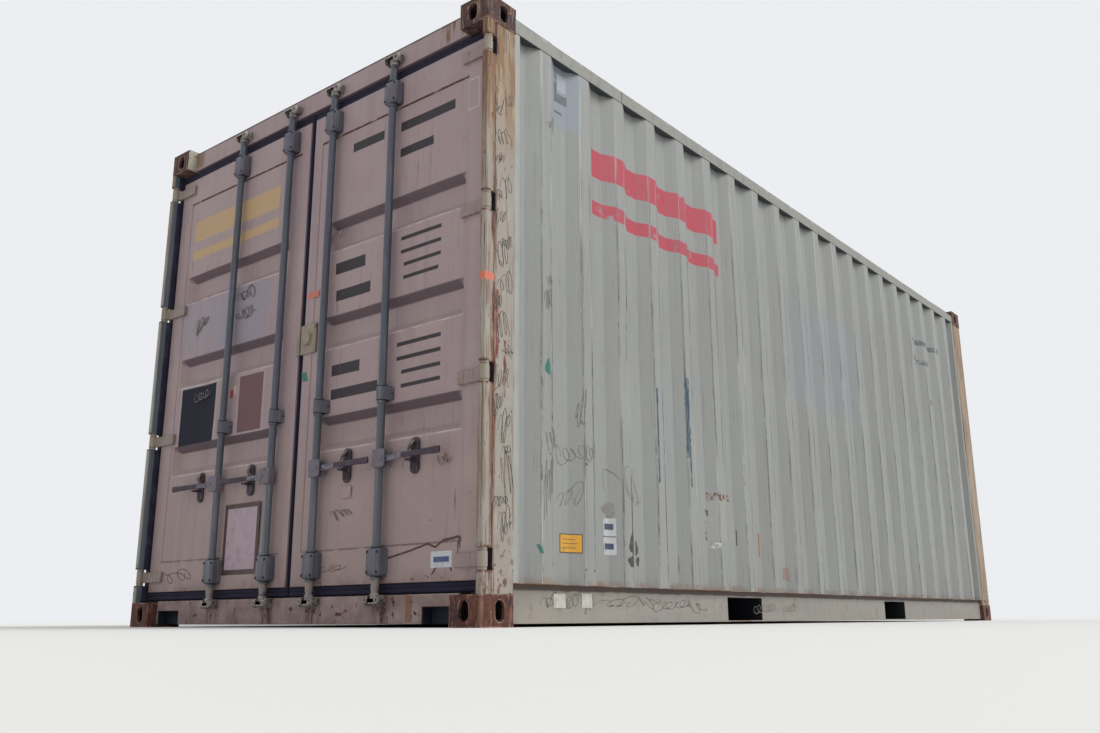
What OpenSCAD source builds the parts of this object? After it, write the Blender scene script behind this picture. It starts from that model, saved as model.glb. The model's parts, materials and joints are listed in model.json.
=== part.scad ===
// Twenty-foot dry cargo container with a two-leaf door at its rear end.
// The origin is at floor level in the middle of the footprint.
// +Z is up, +Y runs along the length to the blind front end, and the doors face -Y.

/* [Box] */
// Length over the corner castings
box_l = 6058; // [4500:1:9000]
// Width over the corner castings
box_w = 2438; // [2300:1:2600]
// Height over the corner castings
box_h = 2591; // [2500:1:2896]

/* [Corner castings] */
// Length of a casting along the container
cast_l = 178; // [170:1:190]
// Width of a casting across the container
cast_w = 162; // [150:1:170]
// Height of a casting
cast_h = 118; // [112:1:124]
// Thickness of a casting's upright walls
cast_wall = 16; // [10:1:20]
// Thickness of the plate round a top or bottom aperture
cast_plate = 28; // [24:1:32]
// Thickness of the plate on the closed side of a casting
cast_back = 14; // [10:1:20]
// Radius of a casting's outer upright edge
cast_r = 8; // [5:1:14]
// Length of the top and bottom apertures, along the container
lock_slot_l = 124; // [110:0.5:126]
// Width of the top and bottom apertures
lock_slot_w = 63.5; // [55:0.5:66]
// Distance of those apertures' centres from the end face
lock_slot_y = 101.5; // [98:0.5:105]
// Distance of those apertures' centres from the side face
lock_slot_x = 89; // [86:0.5:92]
// Height of the apertures in the end and side faces
face_slot_h = 79.5; // [70:0.5:80]
// Width of the apertures in the end and side faces
face_slot_w = 51; // [44:0.5:54]

/* [Posts] */
// Width of the rear post's nose, which stands forward beside the door
nose_w = 31; // [28:1:34]
// How far the nose stands forward of the post's side face
nose_d = 55; // [50:1:56]
// How far the post's faces lie inside the casting's faces
post_inset = 3; // [2:0.5:4]
// How far the nose's faces lie inside the casting's faces
nose_inset = 1; // [1:0.5:2]
// Radius of the folds along the nose
nose_r = 6; // [4:1:8]
// How far the rear post's seal flange reaches in beyond the nose
seal_flange_w = 17; // [12:1:22]
// Distance of the seal face behind the castings' end face
seal_face_d = 114; // [113:1:124]
// Thickness of the front post's side leg
front_post_side_t = 46; // [40:1:50]
// Thickness of the front post's end leg
front_post_end_t = 58; // [54:1:62]

/* [Ends and rails] */
// Distance of the door header and sill behind the castings' end face
end_recess = 50; // [48:1:52]
// Height of the rails' undersides above the castings' undersides
rail_lift = 12; // [10:0.5:17]
// Height of the door sill's front part
sill_h = 113; // [110:1:114]
// Height of the header's flange below the castings
header_flange_h = 33; // [28:1:36]
// Drop of the rails' and the roof's tops below the castings' tops
roof_drop = 7; // [6:0.5:9]
// Width and height of a top side rail
top_rail = 60; // [50:1:80]
// Wall of a top side rail
top_rail_t = 3; // [3:0.5:6]
// Inset of a top side rail from the castings' side faces
top_rail_inset = 5; // [3:0.5:8]
// Height of a bottom side rail
bottom_rail_h = 150; // [140:1:165]
// Inset of a bottom side rail's web from the castings' side faces
bottom_rail_inset = 29; // [27:1:34]
// Thickness of a bottom side rail
bottom_rail_t = 4.5; // [4:0.5:6]
// Width of a bottom side rail's top flange, from the web inwards
rail_top_flange = 48; // [40:1:60]
// Width of the lip that carries the wall, from the web outwards
rail_lip = 24; // [18:1:25]
// Width of a bottom side rail's bottom flange
rail_bottom_flange = 30; // [24:1:40]
// Height of the front header
front_header_h = 106; // [80:1:118]
// Depth of the front header and the front sill
front_rail_d = 60; // [50:1:70]
// Thickness of the plate between the front header and the roof
header_plate_t = 4; // [3:0.5:6]
// Width of the cut-out in the sill beside each casting
sill_cut_w = 192; // [150:1:220]
// Distance of that cut-out from the casting
sill_cut_x = 7; // [4:1:20]
// Height of that cut-out above the castings' undersides
sill_cut_h = 77; // [60:1:80]
// Depth of that cut-out
sill_cut_d = 60; // [40:1:62]

/* [Walls and roof] */
// Thickness of the corrugated sheets
sheet_t = 2; // [2:0.2:3]
// Inset of the side walls' outer ribs from the castings' side faces
wall_inset = 7; // [6:0.5:9]
// Width of an outer rib of the side wall
side_crest = 72; // [60:1:90]
// Width of an inner rib of the side wall
side_valley = 70; // [60:1:90]
// Width of the slope between them
side_slope = 68; // [40:1:70]
// Depth of the side wall's ribs
side_depth = 36; // [30:1:37]
// Inset of the front wall's outer ribs from the castings' end face
front_wall_inset = 8; // [6:0.5:10]
// Width of an outer rib of the front wall
front_crest = 110; // [90:1:130]
// Width of an inner rib of the front wall
front_valley = 104; // [90:1:130]
// Width of the slope between them
front_slope = 18; // [12:1:30]
// Depth of the front wall's ribs
front_depth = 45.6; // [40:0.2:46]
// Width of a crest or a trough of the roof sheet
roof_flat = 91; // [70:1:100]
// Width of the slope between them
roof_slope = 13.5; // [10:0.5:20]
// Depth of the roof's ribs
roof_depth = 20; // [14:1:30]
// Length of a corner protection plate
corner_plate_l = 300; // [250:1:350]
// Width of a corner protection plate
corner_plate_w = 270; // [220:1:320]
// Thickness of a corner protection plate
corner_plate_t = 3; // [3:0.5:4]

/* [Base] */
// Thickness of the plywood floor
floor_t = 28; // [24:1:30]
// Width of a crossmember's flanges
cross_w = 45; // [40:1:75]
// Thickness of a crossmember
cross_t = 4; // [3:0.5:6]
// Distance between crossmembers
cross_pitch = 280; // [240:1:320]
// Distance between the fork pockets' centres
pocket_pitch = 2050; // [1900:1:2100]
// Clear width of a fork pocket
pocket_w = 360; // [350:1:370]
// Clear height of a fork pocket
pocket_h = 112; // [105:1:113]
// Thickness of a fork pocket's side walls
pocket_t = 5; // [4:0.5:8]
// Length of the strap under each end of a fork pocket
pocket_strap_l = 200; // [150:1:260]

/* [Doors] */
// Distance of the doors' outer face behind the castings' end face
door_recess = 54; // [53:0.5:55]
// Thickness of a door leaf
leaf_t = 50; // [48:1:52]
// Width of the dark gap between the two leaf frames
middle_gap = 37; // [30:1:44]
// Running clearance between the two gaskets
gasket_gap = 9; // [8:0.5:10]
// Height of the leaf's underside above the castings' undersides
leaf_z0 = 170; // [165:1:175]
// Drop of the leaf's top below the top castings' undersides
leaf_top_drop = 48; // [43:1:53]
// Width of the leaf frame's upright at the hinges
stile_w = 100; // [90:1:110]
// Width of the leaf frame's upright at the middle gap
meeting_stile_w = 60; // [50:1:66]
// Height of the leaf frame's cross members
leaf_rail_h = 150; // [140:1:160]
// Distance from the pin's axis to the leaf frame
leaf_edge = 36; // [34:1:40]
// How far the door panel's face lies behind the frame's face
panel_set = 3; // [2:0.5:5]
// Depth of a trough in the door panel
trough_d = 36; // [30:1:40]
// Height of a trough in the door panel
trough_h = 153; // [140:1:165]
// Width of a trough's sloped border
trough_slope = 32; // [24:1:40]
// Distance between the troughs
trough_pitch = 467; // [440:1:480]
// Height of the lowest trough's centre
trough_z0 = 831; // [820:1:840]
// Distance of a trough's end from the leaf's edge at the hinges
trough_out = 115; // [112:1:130]
// Distance of a trough's end from the leaf's edge at the middle gap
trough_in = 131; // [110:1:150]
// Running clearance of the gasket to the steel above, below and behind it
gasket_clear = 5; // [5:0.5:6]
// Running clearance of the gasket to the post's nose
gasket_side_clear = 6; // [6:0.5:7]
// How far the gasket's face lies behind the leaf's face
gasket_set = 6; // [6:0.5:8]

/* [Hinges] */
// Distance of the hinge pins behind the castings' end face
pin_y = 24; // [23:0.5:24]
// Distance of the hinge pins from the castings' side faces
pin_x = 18; // [17.5:0.5:18]
// Diameter of a hinge pin
pin_d = 22; // [18:0.5:24]
// Radial clearance of a pin in its knuckle
pin_clear = 0.4; // [0.3:0.1:0.6]
// Radius of a hinge knuckle
knuckle_r = 18; // [16:0.5:18]
// Height of a hinge knuckle
knuckle_h = 60; // [50:1:62]
// Gap between a knuckle and the lugs above and below it
lug_gap = 1; // [0.5:0.5:2]
// Thickness of a hinge lug
lug_t = 10; // [8:1:14]
// Radius of a hinge lug
lug_r = 17; // [15:0.5:18]
// Height of a hinge blade
blade_h = 52; // [46:1:52]
// Thickness of a hinge blade
blade_t = 12; // [10:0.5:12]
// Reach of a hinge blade from its pin
blade_l = 163; // [140:1:170]
// Height of the lowest hinge
hinge_z0 = 245; // [240:1:250]
// Drop of the highest hinge below the castings' tops
hinge_top_drop = 231; // [226:1:240]

/* [Lock rods] */
// Diameter of a lock rod
rod_d = 34; // [32:0.5:36]
// Distance of the rods' axes behind the castings' end face
rod_recess = 28; // [28:0.5:28.5]
// Distance of the right leaf's inner rod from the middle
right_inner_x = 188; // [180:1:195]
// Distance of the left leaf's inner rod from the middle
left_inner_x = 143; // [140:1:160]
// Gap between an inner handle's tip and the outer rod beside it
handle_gap = 35; // [25:1:45]
// Height of the rods' lower ends
rod_z0 = 100; // [98:1:105]
// Drop of the rods' upper ends below the castings' tops
rod_top_drop = 71; // [68:1:76]
// Radius of the cam's nose
cam_nose_r = 10; // [8:0.5:11]
// Reach of the cam from the rod's axis
cam_reach = 26; // [24:0.5:26]
// Height of a cam
cam_h = 34; // [28:1:40]
// Radial clearance of a rod in its brackets
rod_clear = 0.4; // [0.3:0.1:0.6]
// Radius of a bracket's barrel
barrel_r = 25; // [23:0.5:26]
// Width of the neck between a bracket's barrel and its base
neck_w = 40; // [34:1:46]
// Radius of the collars on a rod above and below each bracket
collar_r = 21; // [19:0.5:21]
// Height of a collar
collar_h = 11; // [8:1:14]
// Gap between a collar and its bracket
collar_gap = 1; // [0.5:0.5:2]
// Width of a rod bracket's base
bracket_w = 112; // [100:1:120]
// Height of an end bracket's base
bracket_h = 132; // [120:1:140]
// Thickness of a bracket's base
bracket_t = 8; // [7:0.5:8]
// Radius of the corners of a bracket's base
bracket_r = 8; // [4:1:14]
// Height of the lower end brackets
bracket_z0 = 245; // [243:1:248]
// Drop of the upper end brackets below the leaf's top
bracket_drop = 70; // [68:1:72]
// Height of the guide brackets
guide_z = 950; // [940:1:960]
// Height of a guide bracket's base
guide_h = 58; // [50:1:70]
// Thickness of a keeper's cheeks and shelf
keeper_t = 11; // [9:0.5:12]
// Half the clear width of a keeper
keeper_half = 33; // [32:0.5:36]
// How far a keeper's front edge lies behind the castings' end face
keeper_front = 8; // [6:0.5:12]
// Gap between a rod's end and its keeper's shelf
keeper_gap = 5; // [5:0.5:8]
// Height of a keeper's cheeks
keeper_h = 30; // [24:1:30]
// Size of the slanted corners at the front of a keeper's cheeks
keeper_slant = 10; // [6:1:12]

/* [Handles] */
// Height of the handles
handle_z = 673; // [668:1:680]
// Height of a handle hub
hub_h = 84; // [76:1:90]
// Reach of a hub's ears from the rod's axis
hub_reach = 54; // [52:1:58]
// How far a hub's front lies behind the castings' end face
hub_recess = 4; // [4:0.5:5]
// Radius of a hub's corners
hub_r = 11; // [8:1:14]
// Distance of a handle's pivot from the rod's axis
pivot_x = 34; // [33:0.5:36]
// Diameter of a pivot bolt
pivot_d = 12; // [10:0.5:14]
// Thickness of a hub's front ear
ear_t = 8; // [7:0.5:8]
// Thickness of a hub's back ear
back_ear_t = 4; // [3:0.5:4]
// Thickness of a handle's eye, along the bolt
eye_t = 22; // [20:0.5:22]
// Radius of a handle's eye
eye_r = 13; // [12:0.5:13.5]
// Gap between a handle's eye and each ear
eye_gap = 1; // [0.5:0.5:1]
// Reach of a handle from the rod's axis
handle_l = 370; // [340:1:375]
// Height of a handle's bar at its root and at its tip
handle_h = 28; // [24:1:30]
// Height of a handle's bar at its bend
handle_waist = 22; // [18:1:24]
// Distance of that bend from the rod's axis
handle_bend_x = 94; // [85:1:100]
// How far a bar's front lies behind the front of its eye
handle_set = 5.5; // [5:0.5:6]
// Diameter of the seal hole in a handle's tip
seal_hole_d = 11; // [8:1:14]
// Thickness of a handle's bar
handle_t = 12; // [10:0.5:12]
// Distance of a catch from the rod's axis
catch_x = 185; // [175:1:195]
// Width of a catch
catch_w = 50; // [44:1:56]
// Height of a catch
catch_h = 150; // [140:1:160]
// Thickness of a catch's plate
catch_t = 8; // [6:1:10]
// Gap between a catch's shelf and the handle above it
shelf_gap = 0.5; // [0.3:0.1:1]
// Thickness of a catch's shelf
shelf_t = 10; // [8:1:14]
// How far a shelf's front lies behind the handle's front
shelf_inset = 2; // [1:0.5:4]
// Height of a catch's hook
hook_h = 50; // [40:1:56]
// Width of a catch's hook
hook_w = 22; // [18:1:26]
// Height of the hook's centre above the handle's
hook_z = 38; // [36:1:44]

/* [Seal plates] */
// Height of the seal plates
seal_plate_h = 141; // [120:1:160]
// Height of the seal plates' centre
seal_plate_z = 1294; // [1288:1:1300]
// Outer edge of the right leaf's seal plate
seal_plate_x1 = 115; // [105:1:118]
// Outer edge of the left leaf's seal plate
seal_plate_x0 = 30; // [26:1:40]
// Thickness of a seal plate
seal_plate_t = 8; // [7:0.5:8]
// Radius of the boss on the seal plate
boss_r = 30; // [24:1:34]
// Thickness of that boss
boss_t = 16; // [10:1:18]
// Distance of that boss from the middle
boss_x = 57; // [50:1:60]

/* [Hidden] */

$fn = 48;
half_l = box_l / 2;
half_w = box_w / 2;
cut = 1; // how far a cutting tool runs past the face it opens

steel = [0.60, 0.62, 0.58];
taupe = [0.56, 0.50, 0.47];
cream = [0.70, 0.66, 0.57];
rust = [0.36, 0.22, 0.16];
rubber = [0.08, 0.08, 0.10];
galvanised = [0.42, 0.43, 0.46];
ply = [0.55, 0.36, 0.22];

// Heights
cast_top_z = box_h - cast_h;
roof_z = box_h - roof_drop;
rail_top_z = roof_z - sheet_t;
bottom_rail_top = rail_lift + bottom_rail_h;
floor_z = bottom_rail_top;
cross_top = floor_z - floor_t;
cross_bottom = rail_lift + bottom_rail_t;
pocket_top = cross_top - cross_t;
header_z = cast_top_z;
leaf_z1 = cast_top_z - leaf_top_drop;

// Plan positions, on the right side
nose_x1 = half_w - nose_inset;
nose_x0 = nose_x1 - nose_w;
post_x1 = half_w - post_inset;
seal_x = nose_x0 - seal_flange_w;
rear_y = -half_l + cast_l;
front_y = half_l - cast_l;
inner_w = half_w - cast_w;
rail_web_x = half_w - bottom_rail_inset;
rail_flange_x = rail_web_x - rail_top_flange;
top_rail_x1 = half_w - top_rail_inset;
top_rail_x0 = top_rail_x1 - top_rail;

// Door positions: the pin, the leaf and its gasket
hinge_x = half_w - pin_x;
hinge_y = -half_l + pin_y;
door_y = -half_l + door_recess;
leaf_x0 = middle_gap / 2;
leaf_x1 = hinge_x - leaf_edge;
gasket_x0 = gasket_gap / 2;
gasket_x1 = nose_x0 - gasket_side_clear;
gasket_z0 = rail_lift + sill_h + gasket_clear;
gasket_z1 = cast_top_z - gasket_clear;
rod_y = -half_l + rod_recess;
bracket_z1 = leaf_z1 - bracket_drop;
notch_h = knuckle_h + 2 * lug_gap + 2 * lug_t;
hinge_count = 4;
hinge_pitch = (box_h - hinge_top_drop - hinge_z0) / (hinge_count - 1);
hinge_zs = [for (i = [0 : hinge_count - 1]) hinge_z0 + i * hinge_pitch];
trough_zs = [for (i = [0 : 2]) trough_z0 + i * trough_pitch];

// A slot with round ends, its length along X and its depth along Z
module slot(length, width, depth) {
    straight = length - width;
    translate([-straight / 2, -width / 2, 0])
        cube([straight, width, depth]);
    for (s = [-1, 1])
        translate([s * straight / 2, 0, 0])
            cylinder(d = width, h = depth);
}

// A rectangle with round corners, centred at the origin
module round_rect(width, height, r) {
    square([width - 2 * r, height], center = true);
    square([width, height - 2 * r], center = true);
    for (sx = [-1, 1], sy = [-1, 1])
        translate([sx * (width / 2 - r), sy * (height / 2 - r)])
            circle(r = r);
}

// Points of an arc from angle a0 to angle a1
function arc(centre, r, a0, a1, steps = 4) =
    [for (i = [0 : steps])
        let (a = a0 + (a1 - a0) * i / steps)
        centre + r * [cos(a), sin(a)]];

// A casting with its outer corner at the origin, its body towards +X, +Y and +Z
module casting() {
    difference() {
        linear_extrude(cast_h) {
            translate([cast_r, 0])
                square([cast_w - cast_r, cast_l]);
            translate([0, cast_r])
                square([cast_w, cast_l - cast_r]);
            translate([cast_r, cast_r])
                circle(r = cast_r);
        }
        translate([cast_wall, cast_wall, cast_plate])
            cube([cast_w - 2 * cast_wall, cast_l - 2 * cast_wall,
                cast_h - cast_plate - cast_back]);
        translate([lock_slot_x, lock_slot_y, -cut])
            rotate([0, 0, 90])
                slot(lock_slot_l, lock_slot_w, cast_plate + 2 * cut);
        translate([lock_slot_x, -cut, cast_h / 2])
            rotate([-90, 0, 0])
                rotate([0, 0, 90])
                    slot(face_slot_h, face_slot_w, cast_wall + 2 * cut);
        translate([-cut, lock_slot_y, cast_h / 2])
            rotate([0, 90, 0])
                slot(face_slot_h, face_slot_w, cast_wall + 2 * cut);
    }
}

// Two castings at one end, at the bottom or at the top
module casting_pair(front, top) {
    color(rust)
        for (side = [0, 1])
            mirror([side, 0, 0])
                mirror([0, front, 0])
                    translate([0, 0, top * box_h])
                        mirror([0, 0, top])
                            translate([-half_w, -half_l, 0])
                                casting();
}

// The rear post on the right: a nose beside the door, and a seal flange behind it
module rear_post() {
    front = -half_l + nose_inset;
    outline = concat(
        arc([nose_x0 + nose_r, front + nose_r], nose_r, 180, 270),
        arc([nose_x1 - nose_r, front + nose_r], nose_r, 270, 360),
        [[nose_x1, -half_l + nose_d],
            [post_x1, -half_l + nose_d],
            [post_x1, rear_y],
            [seal_x, rear_y],
            [seal_x, -half_l + seal_face_d],
            [nose_x0, -half_l + seal_face_d]]);
    notch_d = door_recess + gasket_set;
    color(cream)
        difference() {
            translate([0, 0, cast_h])
                linear_extrude(cast_top_z - cast_h)
                    polygon(outline);
            for (z = hinge_zs)
                translate([nose_x0 - cut, -half_l, z - notch_h / 2])
                    cube([nose_w + 2 * cut, notch_d, notch_h]);
        }
}

module right_rear_post() {
    rear_post();
}

module left_rear_post() {
    mirror([1, 0, 0])
        rear_post();
}

// Front posts, each an angle with one leg along the side and one across the end
module front_posts() {
    leg_x0 = post_x1 - front_post_side_t;
    leg_y0 = half_l - post_inset - front_post_end_t;
    outline = [
        [post_x1, front_y],
        [post_x1, half_l - post_inset],
        [inner_w, half_l - post_inset],
        [inner_w, leg_y0],
        [leg_x0, leg_y0],
        [leg_x0, front_y]
    ];
    color(cream)
        for (side = [0, 1])
            mirror([side, 0, 0])
                translate([0, 0, cast_h])
                    linear_extrude(cast_top_z - cast_h)
                        polygon(outline);
}

// A bar from corner a to corner b
module bar(a, b) {
    translate(a)
        cube(b - a);
}

module door_header() {
    front = -half_l + end_recess;
    seal_y = -half_l + seal_face_d;
    color(taupe) {
        bar([-inner_w, front, header_z], [inner_w, rear_y, rail_top_z]);
        bar([-seal_x, seal_y, header_z - header_flange_h], [seal_x, rear_y, header_z]);
    }
}

module door_sill() {
    front = -half_l + end_recess;
    seal_y = -half_l + seal_face_d;
    sill_top = rail_lift + sill_h;
    color(taupe)
        difference() {
            union() {
                bar([-inner_w, front, rail_lift], [inner_w, rear_y, sill_top]);
                bar([-inner_w, seal_y, sill_top], [inner_w, rear_y, floor_z]);
                for (side = [0, 1])
                    mirror([side, 0, 0])
                        bar([inner_w, seal_y, cast_h], [seal_x, rear_y, floor_z]);
            }
            for (side = [0, 1])
                mirror([side, 0, 0])
                    bar([inner_w - sill_cut_x - sill_cut_w, front - cut, rail_lift - cut],
                        [inner_w - sill_cut_x, front + sill_cut_d, sill_cut_h]);
        }
}

// Header and sill of the blind end, and the plate that joins the header to the roof
module front_end_rails() {
    outer = half_l - post_inset;
    color(cream) {
        bar([-inner_w, front_y, rail_top_z - header_plate_t],
            [inner_w, outer - front_rail_d, rail_top_z]);
        bar([-inner_w, outer - front_rail_d, rail_top_z - front_header_h],
            [inner_w, outer, rail_top_z]);
        bar([-inner_w, outer - front_rail_d, rail_lift], [inner_w, outer, floor_z]);
    }
}

module top_side_rails() {
    z0 = rail_top_z - top_rail;
    color(steel)
        for (side = [0, 1])
            mirror([side, 0, 0])
                difference() {
                    bar([top_rail_x0, rear_y, z0], [top_rail_x1, front_y, rail_top_z]);
                    bar([top_rail_x0 + top_rail_t, rear_y - cut, z0 + top_rail_t],
                        [top_rail_x1 - top_rail_t, front_y + cut, rail_top_z - top_rail_t]);
                }
}

// Bottom side rail on the right: a channel open inwards with a lip outwards under the
// wall, cut for the fork pockets
module bottom_rail() {
    outline = [
        [rail_web_x, rail_lift],
        [rail_web_x, bottom_rail_top - bottom_rail_t],
        [rail_web_x + rail_lip, bottom_rail_top - bottom_rail_t],
        [rail_web_x + rail_lip, bottom_rail_top],
        [rail_flange_x, bottom_rail_top],
        [rail_flange_x, bottom_rail_top - bottom_rail_t],
        [rail_web_x - bottom_rail_t, bottom_rail_top - bottom_rail_t],
        [rail_web_x - bottom_rail_t, cross_bottom],
        [rail_web_x - rail_bottom_flange, cross_bottom],
        [rail_web_x - rail_bottom_flange, rail_lift]
    ];
    color(steel)
        difference() {
            translate([0, front_y, 0])
                rotate([90, 0, 0])
                    linear_extrude(front_y - rear_y)
                        polygon(outline);
            for (s = [-1, 1])
                translate([rail_web_x - bottom_rail_t - cut,
                    s * pocket_pitch / 2 - pocket_w / 2, pocket_top - pocket_h])
                    cube([bottom_rail_t + 2 * cut, pocket_w, pocket_h]);
        }
}

module right_bottom_rail() {
    bottom_rail();
}

module left_bottom_rail() {
    mirror([1, 0, 0])
        bottom_rail();
}

// Points of a trapezoid wave along u, from u0 to u1, that starts and ends on a crest.
// Each wave is a slope down, a valley, a slope up and a crest.
function wave(u0, u1, crest, valley, slope, depth) =
    let (pitch = crest + valley + 2 * slope,
        count = floor((u1 - u0 - crest) / pitch),
        start = (u0 + u1 - count * pitch + crest) / 2)
    concat([[u0, 0]],
        [for (i = [0 : count - 1], k = [0 : 3])
            [start + i * pitch + [0, slope, slope + valley, 2 * slope + valley][k],
                (k == 1 || k == 2) ? -depth : 0]],
        [[u1, 0]]);

// A corrugated sheet: the wave, and the same wave one thickness further in
module corrugated(points, thickness) {
    count = len(points);
    polygon(concat(points,
        [for (i = [count - 1 : -1 : 0]) points[i] - [0, thickness]]));
}

// Side wall on the right, its ribs upright
module side_wall() {
    points = wave(rear_y, front_y, side_crest, side_valley, side_slope, side_depth);
    color(steel)
        translate([half_w - wall_inset, 0, bottom_rail_top])
            linear_extrude(rail_top_z - top_rail - bottom_rail_top)
                mirror([1, 0])
                    rotate(90)
                        corrugated(points, sheet_t);
}

module right_side_wall() {
    side_wall();
}

module left_side_wall() {
    mirror([1, 0, 0])
        side_wall();
}

module front_wall() {
    points = wave(-inner_w, inner_w, front_crest, front_valley, front_slope, front_depth);
    color(steel)
        translate([0, half_l - front_wall_inset, floor_z])
            linear_extrude(rail_top_z - front_header_h - floor_z)
                corrugated(points, sheet_t);
}

// Roof sheet: waves from end to end, ridged across, with a flat hem on each side rail
module roof_panel() {
    points = wave(rear_y, front_y, roof_flat, roof_flat, roof_slope, roof_depth);
    color(steel) {
        translate([-top_rail_x0, 0, roof_z])
            rotate([90, 0, 90])
                linear_extrude(2 * top_rail_x0)
                    corrugated(points, sheet_t);
        for (side = [0, 1])
            mirror([side, 0, 0])
                bar([top_rail_x0, rear_y, rail_top_z], [top_rail_x1, front_y, roof_z]);
    }
}

module roof_corner_plates() {
    color(steel)
        for (side = [0, 1], end = [0, 1])
            mirror([side, 0, 0])
                mirror([0, end, 0])
                    bar([top_rail_x1 - corner_plate_w, rear_y, roof_z],
                        [top_rail_x1, rear_y + corner_plate_l, roof_z + corner_plate_t]);
}

module floor_boards() {
    color(ply)
        bar([-rail_flange_x, rear_y, cross_top],
            [rail_flange_x, half_l - post_inset - front_rail_d, floor_z]);
}

// One crossmember, a channel whose web stands at its front edge
module crossmember() {
    end_x = rail_web_x - bottom_rail_t;
    difference() {
        bar([-end_x, -cross_w / 2, cross_bottom], [end_x, cross_w / 2, cross_top]);
        bar([-end_x - cut, -cross_w / 2 - cut, cross_bottom + cross_t],
            [end_x + cut, cross_w / 2 - cross_t, cross_top - cross_t]);
    }
}

module crossmembers() {
    outer = pocket_pitch / 2 + pocket_w / 2;
    inner = pocket_pitch / 2 - pocket_w / 2;
    end_count = floor((-rear_y - outer) / cross_pitch);
    mid_count = floor((inner - cross_w) / cross_pitch);
    places = concat([0],
        [for (s = [-1, 1], i = [1 : mid_count]) s * i * cross_pitch],
        [for (s = [-1, 1], i = [1 : end_count]) s * (outer + i * cross_pitch)]);
    color(galvanised)
        for (y = places)
            translate([0, y, 0])
                crossmember();
}

// Fork pockets: two side walls and a top plate, with a strap under each end
module fork_pockets() {
    end_x = rail_web_x - bottom_rail_t;
    strap_x = rail_web_x - rail_bottom_flange;
    half = pocket_w / 2;
    color(galvanised)
        for (s = [-1, 1])
            translate([0, s * pocket_pitch / 2, 0]) {
                for (side = [0, 1])
                    mirror([0, side, 0])
                        bar([-end_x, half, cross_bottom],
                            [end_x, half + pocket_t, cross_top]);
                bar([-end_x, -half, pocket_top], [end_x, half, cross_top]);
                for (side = [0, 1])
                    mirror([side, 0, 0])
                        bar([strap_x - pocket_strap_l, -half - pocket_t, rail_lift],
                            [strap_x, half + pocket_t, cross_bottom]);
            }
}

// A keeper with its socket's axis at the origin and its shelf below
module keeper() {
    back = end_recess - rod_recess;
    front = keeper_front - rod_recess;
    outer = keeper_half + keeper_t;
    low = -keeper_gap - keeper_t;
    high = keeper_h - keeper_gap;
    outline = [
        [back, low],
        [back, high],
        [front + keeper_slant, high],
        [front, high - keeper_slant],
        [front, low + keeper_slant],
        [front + keeper_slant, low]
    ];
    difference() {
        translate([-outer, 0, 0])
            rotate([90, 0, 90])
                linear_extrude(2 * outer)
                    polygon(outline);
        bar([-keeper_half, front - cut, -keeper_gap],
            [keeper_half, back + cut, keeper_h]);
    }
}

rod_pitch = handle_l + handle_gap + rod_d / 2;
rod_xs = [right_inner_x + rod_pitch, right_inner_x, -left_inner_x,
    -left_inner_x - rod_pitch];
rod_z1 = box_h - rod_top_drop;

// Depths of a hub's faces from the rod's axis
ear_front = hub_recess - rod_recess;
ear_back = ear_front + ear_t + eye_t + 2 * eye_gap;

module cam_keepers() {
    color(galvanised)
        for (x = rod_xs) {
            translate([x, rod_y, rod_z0])
                keeper();
            translate([x, rod_y, rod_z1])
                mirror([0, 0, 1])
                    keeper();
        }
}

// Lugs above and below each knuckle, with the pin through them
module hinge_lugs() {
    color(cream)
        for (side = [0, 1], z = hinge_zs)
            mirror([side, 0, 0])
                translate([hinge_x, hinge_y, z - notch_h / 2]) {
                    cylinder(r = lug_r, h = lug_t);
                    cylinder(d = pin_d, h = notch_h);
                    translate([0, 0, notch_h - lug_t])
                        cylinder(r = lug_r, h = lug_t);
                }
}

// Leaf frame on the right: two stiles and two cross members round the panel
module leaf_frame() {
    color(taupe)
        difference() {
            bar([leaf_x0, door_y, leaf_z0], [leaf_x1, door_y + leaf_t, leaf_z1]);
            bar([leaf_x0 + meeting_stile_w, door_y - cut, leaf_z0 + leaf_rail_h],
                [leaf_x1 - stile_w, door_y + leaf_t + cut, leaf_z1 - leaf_rail_h]);
        }
}

// A pan with sloped borders, its mouth at y = 0 and its bottom at y = depth
module pan(width, height, depth, slope) {
    a = [width / 2, height / 2];
    b = a - [slope, slope];
    ring = [[-1, -1], [1, -1], [1, 1], [-1, 1]];
    points = concat([for (p = ring) [p[0] * a[0], 0, p[1] * a[1]]],
        [for (p = ring) [p[0] * b[0], depth, p[1] * b[1]]]);
    polyhedron(points, [[0, 3, 2, 1], [4, 5, 6, 7],
        [0, 1, 5, 4], [1, 2, 6, 5], [2, 3, 7, 6], [3, 0, 4, 7]]);
}

// Door panel on the right: a sheet with three shallow troughs pressed inwards
module leaf_panel() {
    x0 = leaf_x0 + meeting_stile_w;
    x1 = leaf_x1 - stile_w;
    face_y = door_y + panel_set;
    trough_x0 = leaf_x0 + trough_in;
    trough_x1 = leaf_x1 - trough_out;
    trough_w = trough_x1 - trough_x0;
    trough_x = (trough_x0 + trough_x1) / 2;
    mouth = 0.5; // how far the cutting pans start in front of the sheet
    rise = mouth * trough_slope / trough_d;
    color(taupe)
        difference() {
            union() {
                bar([x0, face_y, leaf_z0 + leaf_rail_h],
                    [x1, face_y + sheet_t, leaf_z1 - leaf_rail_h]);
                for (z = trough_zs)
                    translate([trough_x, face_y + sheet_t, z])
                        pan(trough_w + sheet_t, trough_h + sheet_t, trough_d,
                            trough_slope);
            }
            for (z = trough_zs)
                translate([trough_x, face_y - mouth, z])
                    pan(trough_w + 2 * rise, trough_h + 2 * rise, trough_d + mouth,
                        trough_slope + rise);
        }
}

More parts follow.
